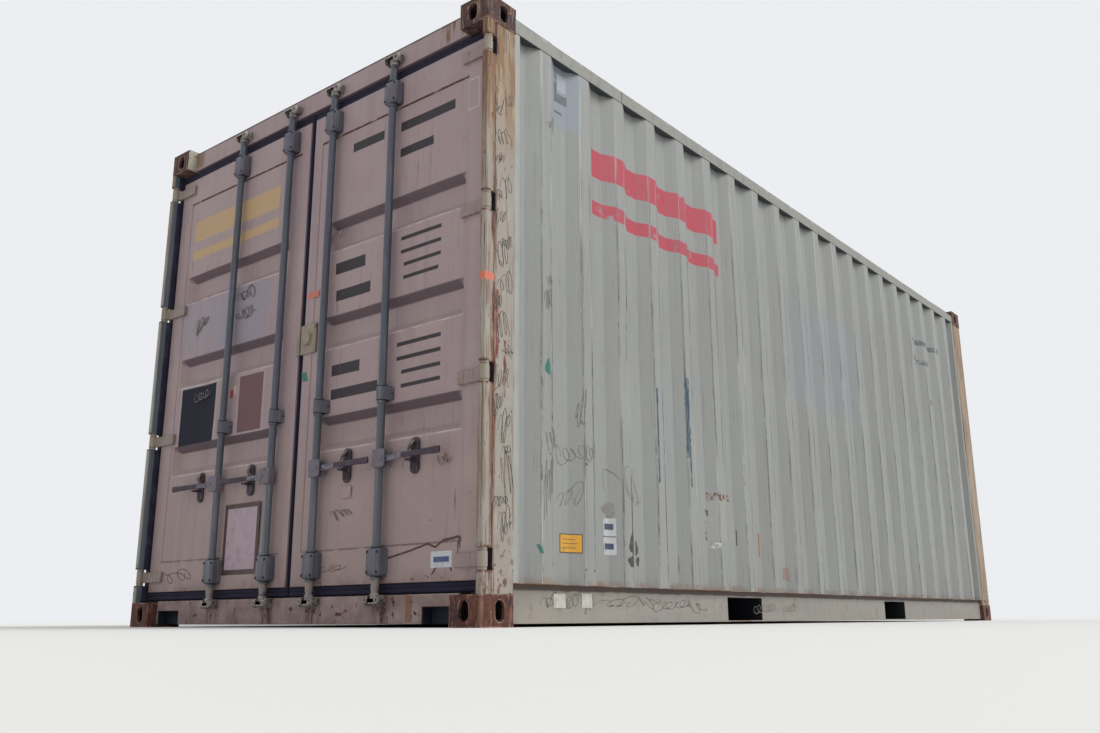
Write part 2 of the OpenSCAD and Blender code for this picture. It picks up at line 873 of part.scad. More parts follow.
// Gasket round the right leaf
module leaf_gasket() {
    color(rubber)
        difference() {
            bar([gasket_x0, door_y + gasket_set, gasket_z0],
                [gasket_x1, -half_l + seal_face_d - gasket_clear, gasket_z1]);
            bar([leaf_x0, door_y, leaf_z0], [leaf_x1, -half_l + seal_face_d, leaf_z1]);
        }
}

// Hinge blades on the right leaf, each a bored knuckle and a strap on the leaf's face
module hinge_blades() {
    reach = door_recess - pin_y;
    color(cream)
        for (z = hinge_zs)
            translate([hinge_x, hinge_y, z])
                difference() {
                    union() {
                        translate([0, 0, -knuckle_h / 2])
                            cylinder(r = knuckle_r, h = knuckle_h);
                        translate([0, 0, -blade_h / 2])
                            linear_extrude(blade_h)
                                polygon([[0, 0], [-knuckle_r, 0],
                                    [-knuckle_r - blade_t, reach - blade_t],
                                    [-blade_l, reach - blade_t],
                                    [-blade_l, reach], [0, reach]]);
                    }
                    translate([0, 0, -knuckle_h])
                        cylinder(d = pin_d + 2 * pin_clear, h = 2 * knuckle_h);
                }
}

// A rod bracket with the rod's axis at the origin, its base at y = base_y
module rod_bracket(height, base_y) {
    z0 = -height / 2;
    difference() {
        union() {
            translate([0, base_y, 0])
                rotate([90, 0, 0])
                    linear_extrude(bracket_t)
                        round_rect(bracket_w, height, bracket_r);
            bar([-neck_w / 2, 0, z0], [neck_w / 2, base_y, -z0]);
            translate([0, 0, z0])
                cylinder(r = barrel_r, h = height);
        }
        translate([0, 0, z0 - cut])
            cylinder(d = rod_d + 2 * rod_clear, h = height + 2 * cut);
    }
}

// The three brackets of the rod at x
module rod_brackets(x) {
    frame_y = door_y - rod_y;
    color(galvanised)
        translate([x, rod_y, 0]) {
            for (z = [bracket_z0, bracket_z1])
                translate([0, 0, z])
                    rod_bracket(bracket_h, frame_y);
            translate([0, 0, guide_z])
                rod_bracket(guide_h, frame_y + panel_set);
        }
}

// A catch at the origin of its plate's back, open in front so the handle can leave it
module handle_catch() {
    shelf_top = -handle_h / 2 - shelf_gap;
    shelf_front = door_recess + panel_set - hub_recess - shelf_inset;
    rotate([90, 0, 0])
        rotate([0, 0, 90])
            slot(catch_h, catch_w, catch_t);
    bar([-catch_w / 2 + catch_t, -shelf_front, shelf_top - shelf_t],
        [catch_w / 2 - catch_t, 0, shelf_top]);
    translate([0, -catch_t, hook_z])
        rotate([90, 0, 0])
            rotate([0, 0, 90])
                slot(hook_h, hook_w, catch_t);
}

// The catch of the handle on the rod at x, on the side that the handle points to
module handle_catches(xs, dir) {
    color(galvanised)
        for (x = xs)
            translate([x + dir * catch_x, door_y + panel_set, handle_z])
                handle_catch();
}

module seal_plate(x0, x1) {
    z0 = seal_plate_z - seal_plate_h / 2;
    bar([x0, door_y - seal_plate_t, z0], [x1, door_y, z0 + seal_plate_h]);
}

module right_door_frame() {
    leaf_frame();
}

module left_door_frame() {
    mirror([1, 0, 0])
        leaf_frame();
}

module right_door_panel() {
    leaf_panel();
}

module left_door_panel() {
    mirror([1, 0, 0])
        leaf_panel();
}

module right_door_gasket() {
    leaf_gasket();
}

module left_door_gasket() {
    mirror([1, 0, 0])
        leaf_gasket();
}

module right_hinge_blades() {
    hinge_blades();
}

module left_hinge_blades() {
    mirror([1, 0, 0])
        hinge_blades();
}

module right_rod_brackets() {
    rod_brackets(rod_xs[0]);
    rod_brackets(rod_xs[1]);
}

module left_rod_brackets() {
    rod_brackets(rod_xs[2]);
    rod_brackets(rod_xs[3]);
}

module right_handle_catches() {
    handle_catches([rod_xs[0], rod_xs[1]], 1);
}

module left_handle_catches() {
    handle_catches([rod_xs[2], rod_xs[3]], -1);
}

module right_seal_plate() {
    color(taupe) {
        seal_plate(gasket_x0, seal_plate_x1);
        translate([boss_x, door_y - seal_plate_t, seal_plate_z])
            rotate([90, 0, 0])
                cylinder(r = boss_r, h = boss_t);
    }
}

module left_seal_plate() {
    color(taupe)
        seal_plate(-seal_plate_x0, -gasket_x0);
}

// Outline of a cam: the rod's round, the nose, and their common tangents
module cam_outline() {
    nose_x = cam_reach - cam_nose_r;
    rod_r = rod_d / 2;
    a = asin((rod_r - cam_nose_r) / nose_x);
    edge = [sin(a), cos(a)];
    circle(r = rod_r);
    translate([nose_x, 0])
        circle(r = cam_nose_r);
    polygon([rod_r * edge, [nose_x, 0] + cam_nose_r * edge,
        [nose_x, 0] + cam_nose_r * [edge[0], -edge[1]], rod_r * [edge[0], -edge[1]]]);
}

// A handle hub: a thick plate wrapped round the rod, open towards the handle
module hub() {
    depth = ear_t + eye_t + 2 * eye_gap + back_ear_t;
    wrap_r = depth / 2;
    intersection() {
        translate([0, 0, -hub_h / 2])
            linear_extrude(hub_h)
                difference() {
                    union() {
                        translate([0, ear_front + wrap_r])
                            circle(r = wrap_r);
                        translate([0, ear_front])
                            square([hub_reach, depth]);
                    }
                    translate([rod_d / 2 + cut, ear_front + ear_t])
                        square([hub_reach, ear_back - ear_front - ear_t]);
                }
        translate([(hub_reach - wrap_r) / 2, ear_front + depth + cut, 0])
            rotate([90, 0, 0])
                linear_extrude(depth + 2 * cut)
                    round_rect(hub_reach + wrap_r, hub_h, hub_r);
    }
}

// Collars above and below a bracket of that height
module collars(height) {
    for (s = [0, 1])
        mirror([0, 0, s])
            translate([0, 0, height / 2 + collar_gap])
                cylinder(r = collar_r, h = collar_h);
}

// A lock rod with its cams and its handle hub. The handle points to +X where dir is 1.
module lock_rod(x, dir) {
    color(galvanised)
        translate([x, rod_y, 0])
            mirror([dir < 0 ? 1 : 0, 0, 0]) {
                translate([0, 0, rod_z0])
                    cylinder(d = rod_d, h = rod_z1 - rod_z0);
                for (z = [rod_z0, rod_z1 - cam_h])
                    translate([0, 0, z])
                        linear_extrude(cam_h)
                            cam_outline();
                for (z = [bracket_z0, bracket_z1])
                    translate([0, 0, z])
                        collars(bracket_h);
                translate([0, 0, guide_z])
                    collars(guide_h);
                translate([0, 0, handle_z])
                    hub();
                translate([pivot_x, ear_back, handle_z])
                    rotate([90, 0, 0])
                        cylinder(d = pivot_d, h = ear_back - ear_front);
            }
}

// A handle's side view: round at the tip, with a waist at the bend
module handle_outline() {
    root = handle_h / 2;
    waist = handle_waist / 2;
    tip_x = handle_l - root;
    polygon([[pivot_x, -root], [handle_bend_x, -waist], [tip_x, -root],
        [tip_x, root], [handle_bend_x, waist], [pivot_x, root]]);
    translate([tip_x, 0])
        circle(r = root);
}

// A handle: an eye round the pivot bolt, and a bar that cranks outwards
module lock_handle(x, dir) {
    eye_y0 = ear_front + ear_t + eye_gap;
    bar_y0 = eye_y0 + handle_set;
    bend_x1 = catch_x - catch_w / 2;
    color(galvanised)
        translate([x, rod_y, handle_z])
            mirror([dir < 0 ? 1 : 0, 0, 0])
                difference() {
                    union() {
                        translate([pivot_x, eye_y0 + eye_t, 0])
                            rotate([90, 0, 0])
                                cylinder(r = eye_r, h = eye_t);
                        intersection() {
                            translate([0, 0, -handle_h / 2])
                                linear_extrude(handle_h)
                                    polygon([[pivot_x, bar_y0], [handle_bend_x, bar_y0],
                                        [bend_x1, ear_front], [handle_l, ear_front],
                                        [handle_l, ear_front + handle_t],
                                        [bend_x1, ear_front + handle_t],
                                        [handle_bend_x, bar_y0 + handle_t],
                                        [pivot_x, bar_y0 + handle_t]]);
                            translate([0, bar_y0 + handle_t + cut, 0])
                                rotate([90, 0, 0])
                                    linear_extrude(2 * (eye_t + handle_t))
                                        handle_outline();
                        }
                    }
                    translate([pivot_x, eye_y0 + eye_t + cut, 0])
                        rotate([90, 0, 0])
                            cylinder(d = pivot_d + 2 * pin_clear, h = eye_t + 2 * cut);
                    translate([handle_l - handle_h / 2, ear_front + handle_t + cut, 0])
                        rotate([90, 0, 0])
                            cylinder(d = seal_hole_d, h = handle_t + 2 * cut);
                }
}

module right_outer_rod() {
    lock_rod(rod_xs[0], 1);
}

module right_inner_rod() {
    lock_rod(rod_xs[1], 1);
}

module left_inner_rod() {
    lock_rod(rod_xs[2], -1);
}

module left_outer_rod() {
    lock_rod(rod_xs[3], -1);
}

module right_outer_handle() {
    lock_handle(rod_xs[0], 1);
}

module right_inner_handle() {
    lock_handle(rod_xs[1], 1);
}

module left_inner_handle() {
    lock_handle(rod_xs[2], -1);
}

module left_outer_handle() {
    lock_handle(rod_xs[3], -1);
}

casting_pair(0, 0);  // rear_bottom_castings
casting_pair(0, 1);  // rear_top_castings
casting_pair(1, 0);  // front_bottom_castings
casting_pair(1, 1);  // front_top_castings
right_rear_post();
left_rear_post();
front_posts();
door_header();
door_sill();
front_end_rails();
top_side_rails();
right_bottom_rail();
left_bottom_rail();
right_side_wall();
left_side_wall();
front_wall();
roof_panel();
roof_corner_plates();
floor_boards();
crossmembers();
fork_pockets();
cam_keepers();
hinge_lugs();
right_door_frame();
right_door_panel();
right_door_gasket();
right_hinge_blades();
right_rod_brackets();
right_handle_catches();
right_seal_plate();
left_door_frame();
left_door_panel();
left_door_gasket();
left_hinge_blades();
left_rod_brackets();
left_handle_catches();
left_seal_plate();
right_outer_rod();
right_inner_rod();
left_inner_rod();
left_outer_rod();
right_outer_handle();
right_inner_handle();
left_inner_handle();
left_outer_handle();
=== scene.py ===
import json
import math

import bmesh
import bpy
import numpy as np
from mathutils import Matrix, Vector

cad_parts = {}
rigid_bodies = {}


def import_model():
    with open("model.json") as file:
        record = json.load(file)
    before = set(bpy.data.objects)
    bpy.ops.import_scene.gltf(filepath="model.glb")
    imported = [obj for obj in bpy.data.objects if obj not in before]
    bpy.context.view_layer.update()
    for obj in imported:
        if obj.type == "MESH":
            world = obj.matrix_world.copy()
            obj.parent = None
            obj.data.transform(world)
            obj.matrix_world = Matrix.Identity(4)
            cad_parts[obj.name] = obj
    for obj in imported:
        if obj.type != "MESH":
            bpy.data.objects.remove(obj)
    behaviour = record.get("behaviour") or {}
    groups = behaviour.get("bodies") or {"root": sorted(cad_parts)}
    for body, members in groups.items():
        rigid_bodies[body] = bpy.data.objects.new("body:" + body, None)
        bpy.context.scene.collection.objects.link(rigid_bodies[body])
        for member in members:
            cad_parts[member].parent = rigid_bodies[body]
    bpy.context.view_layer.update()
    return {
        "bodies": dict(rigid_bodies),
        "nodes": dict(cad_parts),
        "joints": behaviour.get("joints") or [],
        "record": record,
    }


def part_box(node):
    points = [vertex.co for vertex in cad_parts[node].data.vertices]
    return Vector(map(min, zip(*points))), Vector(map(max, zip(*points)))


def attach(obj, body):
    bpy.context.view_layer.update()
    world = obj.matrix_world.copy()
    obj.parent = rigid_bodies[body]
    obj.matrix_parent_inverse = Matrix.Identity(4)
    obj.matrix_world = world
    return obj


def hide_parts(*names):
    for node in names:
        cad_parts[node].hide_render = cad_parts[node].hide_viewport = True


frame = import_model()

mm = 0.001
sides = ((1, "right"), (-1, "left"))  # the sign of X on each side
nodes = frame["nodes"]
print("frame loaded:", len(nodes), "nodes")


# Camera and room

cameraLook = {
    "place": (3.7345, -5.7084, 0.030),  # metres, low beside the corner of the door end
    "turnLeft": 39.264,  # degrees from +Y towards -X
    "tiltUp": 14.236,
    "roll": -0.291,
    "lens": 32.562,  # mm, on a sensor 36 mm wide
}

roomLook = {
    "zenith": 0.95,  # sky light from straight above, and from the horizon
    "horizon": 0.34,
    "sunLight": 2.1,
    "sunTurn": (40.0, 0.0, 112.0),  # degrees; from the open side, a little behind the doors
    "sunSpread": 32.0,  # degrees, wide as through cloud
    "floorReach": 60.0,  # metres
    "floor": "#D3D2CF",
    "backdrop": "#ECEEF1",
}


def linear(hexColour):
    # an sRGB hex value as linear light, with full alpha
    values = np.array([int(hexColour[i:i + 2], 16) for i in (1, 3, 5)]) / 255
    bright = ((values + 0.055) / 1.055) ** 2.4
    return (*np.where(values <= 0.04045, values / 12.92, bright), 1.0)


filling = {"tree": None, "material": None}  # what addNode and the patterns are filling


def addNode(kind, inputs=None, pick=0, **settings):
    # adds one shader node, sets its properties, fills or links its inputs, and gives back one output
    tree = filling["tree"]
    made = tree.nodes.new("ShaderNode" + kind)
    for name, value in settings.items():
        setattr(made, name, value)
    for key, value in (inputs or {}).items():
        if isinstance(value, bpy.types.NodeSocket):
            tree.links.new(value, made.inputs[key])
        else:
            made.inputs[key].default_value = value
    return made.outputs[pick] if made.outputs else made


def setCamera():
    look = cameraLook
    data = bpy.data.cameras.new("camera")
    data.lens = look["lens"]
    data.sensor_width = 36.0
    camera = bpy.data.objects.new("camera", data)
    turn = [math.radians(look[key]) for key in ("turnLeft", "tiltUp", "roll")]
    camera.matrix_world = (
        Matrix.Translation(look["place"])
        @ Matrix.Rotation(turn[0], 4, "Z")
        @ Matrix.Rotation(math.pi / 2 + turn[1], 4, "X")
        @ Matrix.Rotation(turn[2], 4, "Z")
    )
    bpy.context.scene.collection.objects.link(camera)
    bpy.context.scene.camera = camera


def setRoom():
    look = roomLook
    scene = bpy.context.scene
    scene.view_settings.view_transform = "Standard"
    world = bpy.data.worlds.new("sky")
    world.use_nodes = True
    filling["tree"] = world.node_tree
    world.node_tree.nodes.clear()
    path = addNode("LightPath")
    seen = addNode("Math", {0: path, 1: path.node.outputs["Is Glossy Ray"]}, operation="MAXIMUM")
    backdrop = addNode("Background", {"Color": linear(look["backdrop"]), "Strength": 1.0})
    way = addNode("TexCoord")
    height = addNode("SeparateXYZ", {0: way}, pick=2)
    strength = addNode("MapRange", {"Value": height, "From Min": 0.0, "From Max": 0.9,
                                    "To Min": look["horizon"], "To Max": look["zenith"]})
    light = addNode("Background", {"Color": (0.96, 0.98, 1.0, 1.0), "Strength": strength})
    both = addNode("MixShader", {0: seen, 1: light, 2: backdrop})
    addNode("OutputWorld", {"Surface": both})
    scene.world = world

    sun = bpy.data.lights.new("cloudySun", "SUN")
    sun.energy = look["sunLight"]
    sun.angle = math.radians(look["sunSpread"])
    sunObject = bpy.data.objects.new("cloudySun", sun)
    sunObject.rotation_euler = [math.radians(a) for a in look["sunTurn"]]
    scene.collection.objects.link(sunObject)

    reach = look["floorReach"]
    mesh = bpy.data.meshes.new("studioFloor")
    corners = [(-reach, -reach, 0), (reach, -reach, 0), (reach, reach, 0), (-reach, reach, 0)]
    mesh.from_pydata(corners, [], [(0, 1, 2, 3)])
    floor = bpy.data.objects.new("studioFloor", mesh)
    scene.collection.objects.link(floor)
    material = bpy.data.materials.new("studioFloor")
    material.use_nodes = True
    shader = material.node_tree.nodes["Principled BSDF"]
    shader.inputs["Base Color"].default_value = linear(look["floor"])
    shader.inputs["Roughness"].default_value = 0.8
    mesh.materials.append(material)


setCamera()
setRoom()
print("camera, light and floor set")


# Patterns for the finishes. Sizes are in mm, and each gives a mask from 0 to its strength.

def objectPlace():
    # the piece's own coordinates, the same as the frame's while everything is at rest
    held = filling["tree"].nodes.get("objectPlace")
    if held is None:
        held = addNode("TexCoord").node
        held.name = "objectPlace"
    return held.outputs["Object"]


def cloud(grain, low, high, seed=0.0, strength=1.0, detail=5.0, long=(1, 1, 1)):
    # soft blots: a noise with grains of that size, drawn long along an axis, from low up to high
    scale = tuple(1 / (grain * mm * stretch) for stretch in long)
    place = addNode("Mapping", {"Vector": objectPlace(), "Location": (seed, 1.7 * seed, -seed),
                                "Scale": scale})
    noise = addNode("TexNoise", {"Vector": place, "Scale": 1.0, "Detail": detail, "Roughness": 0.6})
    return addNode("MapRange", {"Value": noise, "From Min": low, "From Max": high,
                                "To Max": strength}, interpolation_type="SMOOTHSTEP")


def runs(width, length, low, high, seed=0.0, strength=1.0, detail=4.0):
    # rain streaks: a noise drawn out down the wall
    return cloud(width, low, high, seed, strength, detail, long=(1, 1, length / width))


def times(*masks):
    # where all the masks are on
    result = masks[0]
    for mask in masks[1:]:
        result = addNode("Math", {0: result, 1: mask}, operation="MULTIPLY")
    return result


def most(*masks):
    # where any of the masks is on
    result = masks[0]
    for mask in masks[1:]:
        result = addNode("Math", {0: result, 1: mask}, operation="MAXIMUM")
    return result


def block(low, high, soft=4.0, ragged=0.0, grain=20.0, seed=0.0, strength=1.0, mirrored=False):
    # inside the box from low to high in mm, with an edge that is soft and may be ragged; mirrored
    # takes the place without its signs
    low, high = np.array(low, float) * mm, np.array(high, float) * mm
    middle, half = (low + high) / 2, (high - low) / 2
    place = objectPlace()
    if mirrored:
        place = addNode("VectorMath", {0: place}, operation="ABSOLUTE")
    off = addNode("VectorMath", {0: place, 1: tuple(middle)}, operation="SUBTRACT")
    off = addNode("VectorMath", {0: off}, operation="ABSOLUTE")
    off = addNode("VectorMath", {0: off, 1: tuple(half)}, operation="SUBTRACT")
    parts = addNode("SeparateXYZ", {0: off}).node.outputs
    far = most(parts[0], parts[1], parts[2])
    if ragged:
        place = addNode("Mapping", {"Vector": objectPlace(), "Location": (seed, seed, seed),
                                    "Scale": (1 / (grain * mm),) * 3})
        noise = addNode("TexNoise", {"Vector": place, "Scale": 1.0, "Detail": 5.0})
        centred = addNode("Math", {0: noise, 1: -0.5}, operation="ADD")
        far = addNode("Math", {0: centred, 1: 2 * ragged * mm, 2: far}, operation="MULTIPLY_ADD")
    return addNode("MapRange", {"Value": far, "From Min": soft * mm, "From Max": -soft * mm,
                                "To Max": strength}, interpolation_type="SMOOTHSTEP")


def wallBlock(rear, front, low, high, *edge, **more):
    # a block on the right side's outer face
    return block((1100, rear, low), (1300, front, high), *edge, **more)


def leafBlock(left, right, low, high, *edge, **more):
    # a block on the doors' outer face
    return block((left, -3000, low), (right, -2900, high), *edge, **more)


def anyOf(shape, *places):
    # where any of several blocks of one sort is on
    return most(*[shape(*place) for place in places])


def span(axis, start, end, strength=1.0, mirrored=False):
    # from nothing at the start to full at the end, in mm along X, Y or Z
    part = addNode("SeparateXYZ", {0: objectPlace()}, pick=axis)
    if mirrored:
        part = addNode("Math", {0: part}, operation="ABSOLUTE")
    return addNode("MapRange", {"Value": part, "From Min": start * mm, "From Max": end * mm,
                                "To Max": strength}, interpolation_type="SMOOTHSTEP")


def outside(axis):
    # where the surface looks away from the container's middle along X or Y: marks stay off its inside
    place = addNode("SeparateXYZ", {0: objectPlace()}, pick=axis)
    normal = addNode("SeparateXYZ", {0: objectPlace().node.outputs["Normal"]}, pick=axis)
    away = addNode("Math", {0: place, 1: normal}, operation="MULTIPLY")
    return addNode("MapRange", {"Value": away, "From Min": 0.02, "From Max": 0.2})


def lines(axis, first, pitch, half, soft, strength=1.0):
    # bands that repeat along an axis: how near the place is to a whole number of pitches
    part = addNode("SeparateXYZ", {0: objectPlace()}, pick=axis)
    turns = addNode("Math", {0: part, 1: 1 / (pitch * mm), 2: -first / pitch},
                    operation="MULTIPLY_ADD")
    off = addNode("Math", {0: turns, 1: 0.5}, operation="PINGPONG")
    return addNode("MapRange", {"Value": off, "From Min": (half + soft) / pitch,
                                "From Max": (half - soft) / pitch, "To Max": strength})


def below(strength=1.0):
    # on faces that look down: a mask for painted shade
    up = addNode("SeparateXYZ", {0: addNode("NewGeometry", pick=1)}, pick=2)
    return addNode("MapRange", {"Value": up, "From Min": -0.2, "From Max": -0.65, "To Max": strength})


def worn(radius):
    # along outer and inner edges: how far the normal of a rounded edge turns from the face's own
    soft = addNode("Bevel", {"Radius": radius * mm}, samples=4)
    own = addNode("NewGeometry", pick=1)
    along = addNode("VectorMath", {0: soft, 1: own}, pick=1, operation="DOT_PRODUCT")
    turned = addNode("Math", {0: 1.0, 1: along}, operation="SUBTRACT")
    return addNode("MapRange", {"Value": turned, "From Min": 0.004, "From Max": 0.08})


def startFinish(name):
    # a new material, whose tree the patterns fill from now on
    material = bpy.data.materials.new(name)
    material.use_nodes = True
    filling["tree"], filling["material"] = material.node_tree, material


def finished(base, roughness, layers, bumps=()):
    # the open material as a principled surface: layers lists (mask, colour, roughness), the oldest
    # first, and bumps lists (mask, height in mm)
    links = filling["tree"].links
    shader = filling["tree"].nodes["Principled BSDF"]
    shader.inputs["IOR"].default_value = 1.5
    colour, rough, height = linear(base), roughness, 0.0
    for mask, over, overRough in layers:
        over = linear(over) if isinstance(over, str) else over
        colour = addNode("Mix", {0: mask, 6: colour, 7: over}, pick=2, data_type="RGBA")
        rough = addNode("Mix", {0: mask, 2: rough, 3: overRough}, data_type="FLOAT")
    links.new(colour, shader.inputs["Base Color"])
    links.new(rough, shader.inputs["Roughness"])
    for mask, depth in bumps:
        height = addNode("Math", {0: mask, 1: depth * mm, 2: height}, operation="MULTIPLY_ADD")
    if bumps:
        normal = addNode("Bump", {"Height": height, "Distance": 1.0, "Strength": 1.0})
        links.new(normal, shader.inputs["Normal"])
    return filling["material"]


def rustColour(dark="#3B2119", bright="#8F4F2B", seed=3.0):
    # iron rust goes from near black to orange in grains of a few millimetres
    mix = cloud(14, 0.35, 0.68, seed, detail=8)
    return addNode("Mix", {0: mix, 6: linear(dark), 7: linear(bright)}, pick=2, data_type="RGBA")


# Finishes

def sheetPaint(name, marks):
    # grey-green alkyd paint, rolled on weathering steel: chalky and matt, with rain streaks down the
    # ribs, and rust where the sheet is cut or welded
    startFinish(name)
    rust = rustColour()
    foot = block((-1300, -3100, 100), (1300, 3100, 184), 12, 10, 60)
    layers = [
        (cloud(900, 0.35, 0.7, 1.0, 0.5), "#8B8B88", 0.55),
        (cloud(300, 0.5, 0.75, 5.0, 0.35), "#93948F", 0.6),
        (runs(60, 1800, 0.5, 0.75, 2.0, 0.4), "#82827E", 0.6),
        (runs(16, 900, 0.56, 0.72, 9.0, 0.35), "#757572", 0.65),
        (runs(30, 1500, 0.62, 0.75, 15.0, 0.5), "#988F86", 0.6),
        (runs(9, 500, 0.62, 0.72, 23.0, 0.4), "#72726F", 0.65),
        (cloud(26, 0.64, 0.72, 11.0, 0.4), "#777772", 0.6),
        (times(foot, cloud(70, 0.38, 0.6, 4.0)), "#8D7C70", 0.75),
    ] + marks() + [
        (cloud(9, 0.735, 0.75, 31.0), rust, 0.85),
        (times(runs(22, 620, 0.64, 0.76, 35.0, 0.85), cloud(700, 0.5, 0.66, 6.0)), "#9A8068", 0.7),
        (times(foot, cloud(30, 0.6, 0.7, 14.0, 0.75)), rust, 0.85),
    ]
    bumps = [(cloud(3, 0.2, 0.8, 1.0), 0.05), (cloud(26, 0.3, 0.8, 7.0), 0.35)]
    return finished("#919390", 0.55, layers, bumps)


def sideMarks():
    # marks on the long walls: painted shade on the ribs' rear slopes and at the valleys' tops under the top
    # rail, rub marks along their corners, painted-out patches, plain bars of faded paint, blue scuffs, a
    # patch welded on
    pitch = wavePitch(sideWall)
    fold = sideWall["firstFold"]
    rearSlopeShade = lines(1, fold + 1.5 * sideWall["slope"] + sideWall["valley"], pitch, 34, 2, 0.4)
    edges = most(lines(1, fold - 2, pitch, 5, 4), lines(1, fold - 68, pitch, 6, 5))
    zone = times(cloud(480, 0.38, 0.54, 8.0), span(2, 2350, 1900))
    blue = anyOf(wallBlock, (-1566, -1531, 790, 1190, 6, 16, 34, 5.0),
                 (-1543, -1530, 648, 810, 4, 6, 34, 5.0), (-1827, -1815, 640, 1090, 3, 6, 30, 7.0))
    patch = anyOf(wallBlock, (-1352, -1207, 606, 640, 3, 16, 18),
                  (-1139, -1120, 614, 646, 2, 9, 18, 2.0), (-1369, -1358, 400, 556, 2, 7, 24, 3.0),
                  (-1362, -1346, 520, 552, 2, 9, 16, 4.0), (-1216, -1206, 486, 528, 2, 5, 16, 5.0))
    redBars = anyOf(wallBlock, (-2280, -1110, 2035, 2175, 1.5, 1, 30),
                    (-2280, -1110, 1845, 1915, 1.5, 1, 30))
    faded = cloud(90, 0.28, 0.42, 13.0)
    darkBars = anyOf(wallBlock, (1810, 2480, 2110, 2150, 1.5), (1810, 2180, 1950, 1990, 1.5),
                     (2080, 2200, 1640, 1680, 1.5), (-2546, -2520, 2312, 2442, 1.5, 2, 12),
                     (-2546, -2457, 2306, 2352, 1.5, 2, 12), (-2560, -2478, 2250, 2262, 1.5, 1, 12))
    marks = [
        # painted shade on the ribs' rear slopes, which face the doors
        (times(rearSlopeShade, cloud(500, 0.1, 0.5, 3.0)), "#888986", 0.6),
        # painted shadow at the tops of the valleys, under the top rail
        (times(span(2, 2462, 2486, 0.7), span(0, 1208, 1198, mirrored=True)), "#5D6261", 0.7),
        (wallBlock(-2582, -2385, 2190, 2486, 3, 5, 40, 2.0, 0.85), "#878E98", 0.5),
        (wallBlock(-2519, -2458, 2370, 2452, 2, 3, 20, 2.0, 0.8), "#9FA5AE", 0.5),
        (wallBlock(-343, 633, 1290, 1930, 5, 9, 50, 3.0, 0.7), "#898E90", 0.5),
        (times(redBars, faded), "#AE404F", 0.5),
        (times(darkBars, cloud(50, 0.36, 0.46, 19.0, 0.8)), "#4A4F51", 0.5),
        (times(edges, runs(7, 900, 0.4, 0.52, 21.0, 0.85), zone), "#686966", 0.55),
        (times(edges, runs(5, 300, 0.5, 0.58, 24.0, 0.9), zone), "#45474A", 0.55),
        (times(runs(6, 420, 0.6, 0.66, 33.0, 0.8), zone), "#6F706D", 0.55),
        (times(edges, cloud(5, 0.5, 0.56, 61.0, long=(1, 1, 9)), cloud(300, 0.46, 0.54, 63.0),
               span(2, 1750, 1500)), "#3F4042", 0.6),
        (times(edges, runs(9, 500, 0.52, 0.62, 27.0, 0.7)), "#BBB9B2", 0.5),
        (times(edges, runs(12, 700, 0.6, 0.68, 29.0, 0.7)), "#94796D", 0.6),
        (times(blue, runs(7, 120, 0.34, 0.5, 4.0)), "#243F4E", 0.55),
        (wallBlock(-1352, -1212, 400, 608, 2, 4, 40, 1.0, 0.3), "#A19D97", 0.55),
        (times(patch, cloud(22, 0.44, 0.56, 9.0)), "#6B4636", 0.75),
        (times(wallBlock(-1352, -1281, 364, 392, 2, 9, 20, 8.0),
               cloud(16, 0.46, 0.58, 3.0)), "#C4C2BC", 0.55),
        (wallBlock(-1071, -1063, 392, 470, 1.5, 3, 20, 6.0), "#4F4541", 0.7),
        (wallBlock(-1632, -1627, 236, 316, 1, 3, 20, 7.0, 0.9), "#75544A", 0.7),
        (times(wallBlock(-824, -806, 345, 474, 3, 6, 24), runs(14, 140, 0.3, 0.5)), "#94693F", 0.75),
        (most(wallBlock(-2386, -2376, 657, 667, 2),
              wallBlock(-2398, -2390, 221, 229, 2),
              wallBlock(-2341, -2333, 217, 225, 2)), "#3B302D", 0.8),
        (wallBlock(-560, -500, 230, 300, 4, 12, 40, 6.0, 0.7), "#8A6A62", 0.7),
        (times(span(1, -2780, -2851), cloud(200, 0.2, 0.6, 3.0, 0.6)), "#A9ACA6", 0.55),
    ]
    outer = outside(0)
    return [(times(mask, outer), colour, gloss) for mask, colour, gloss in marks]


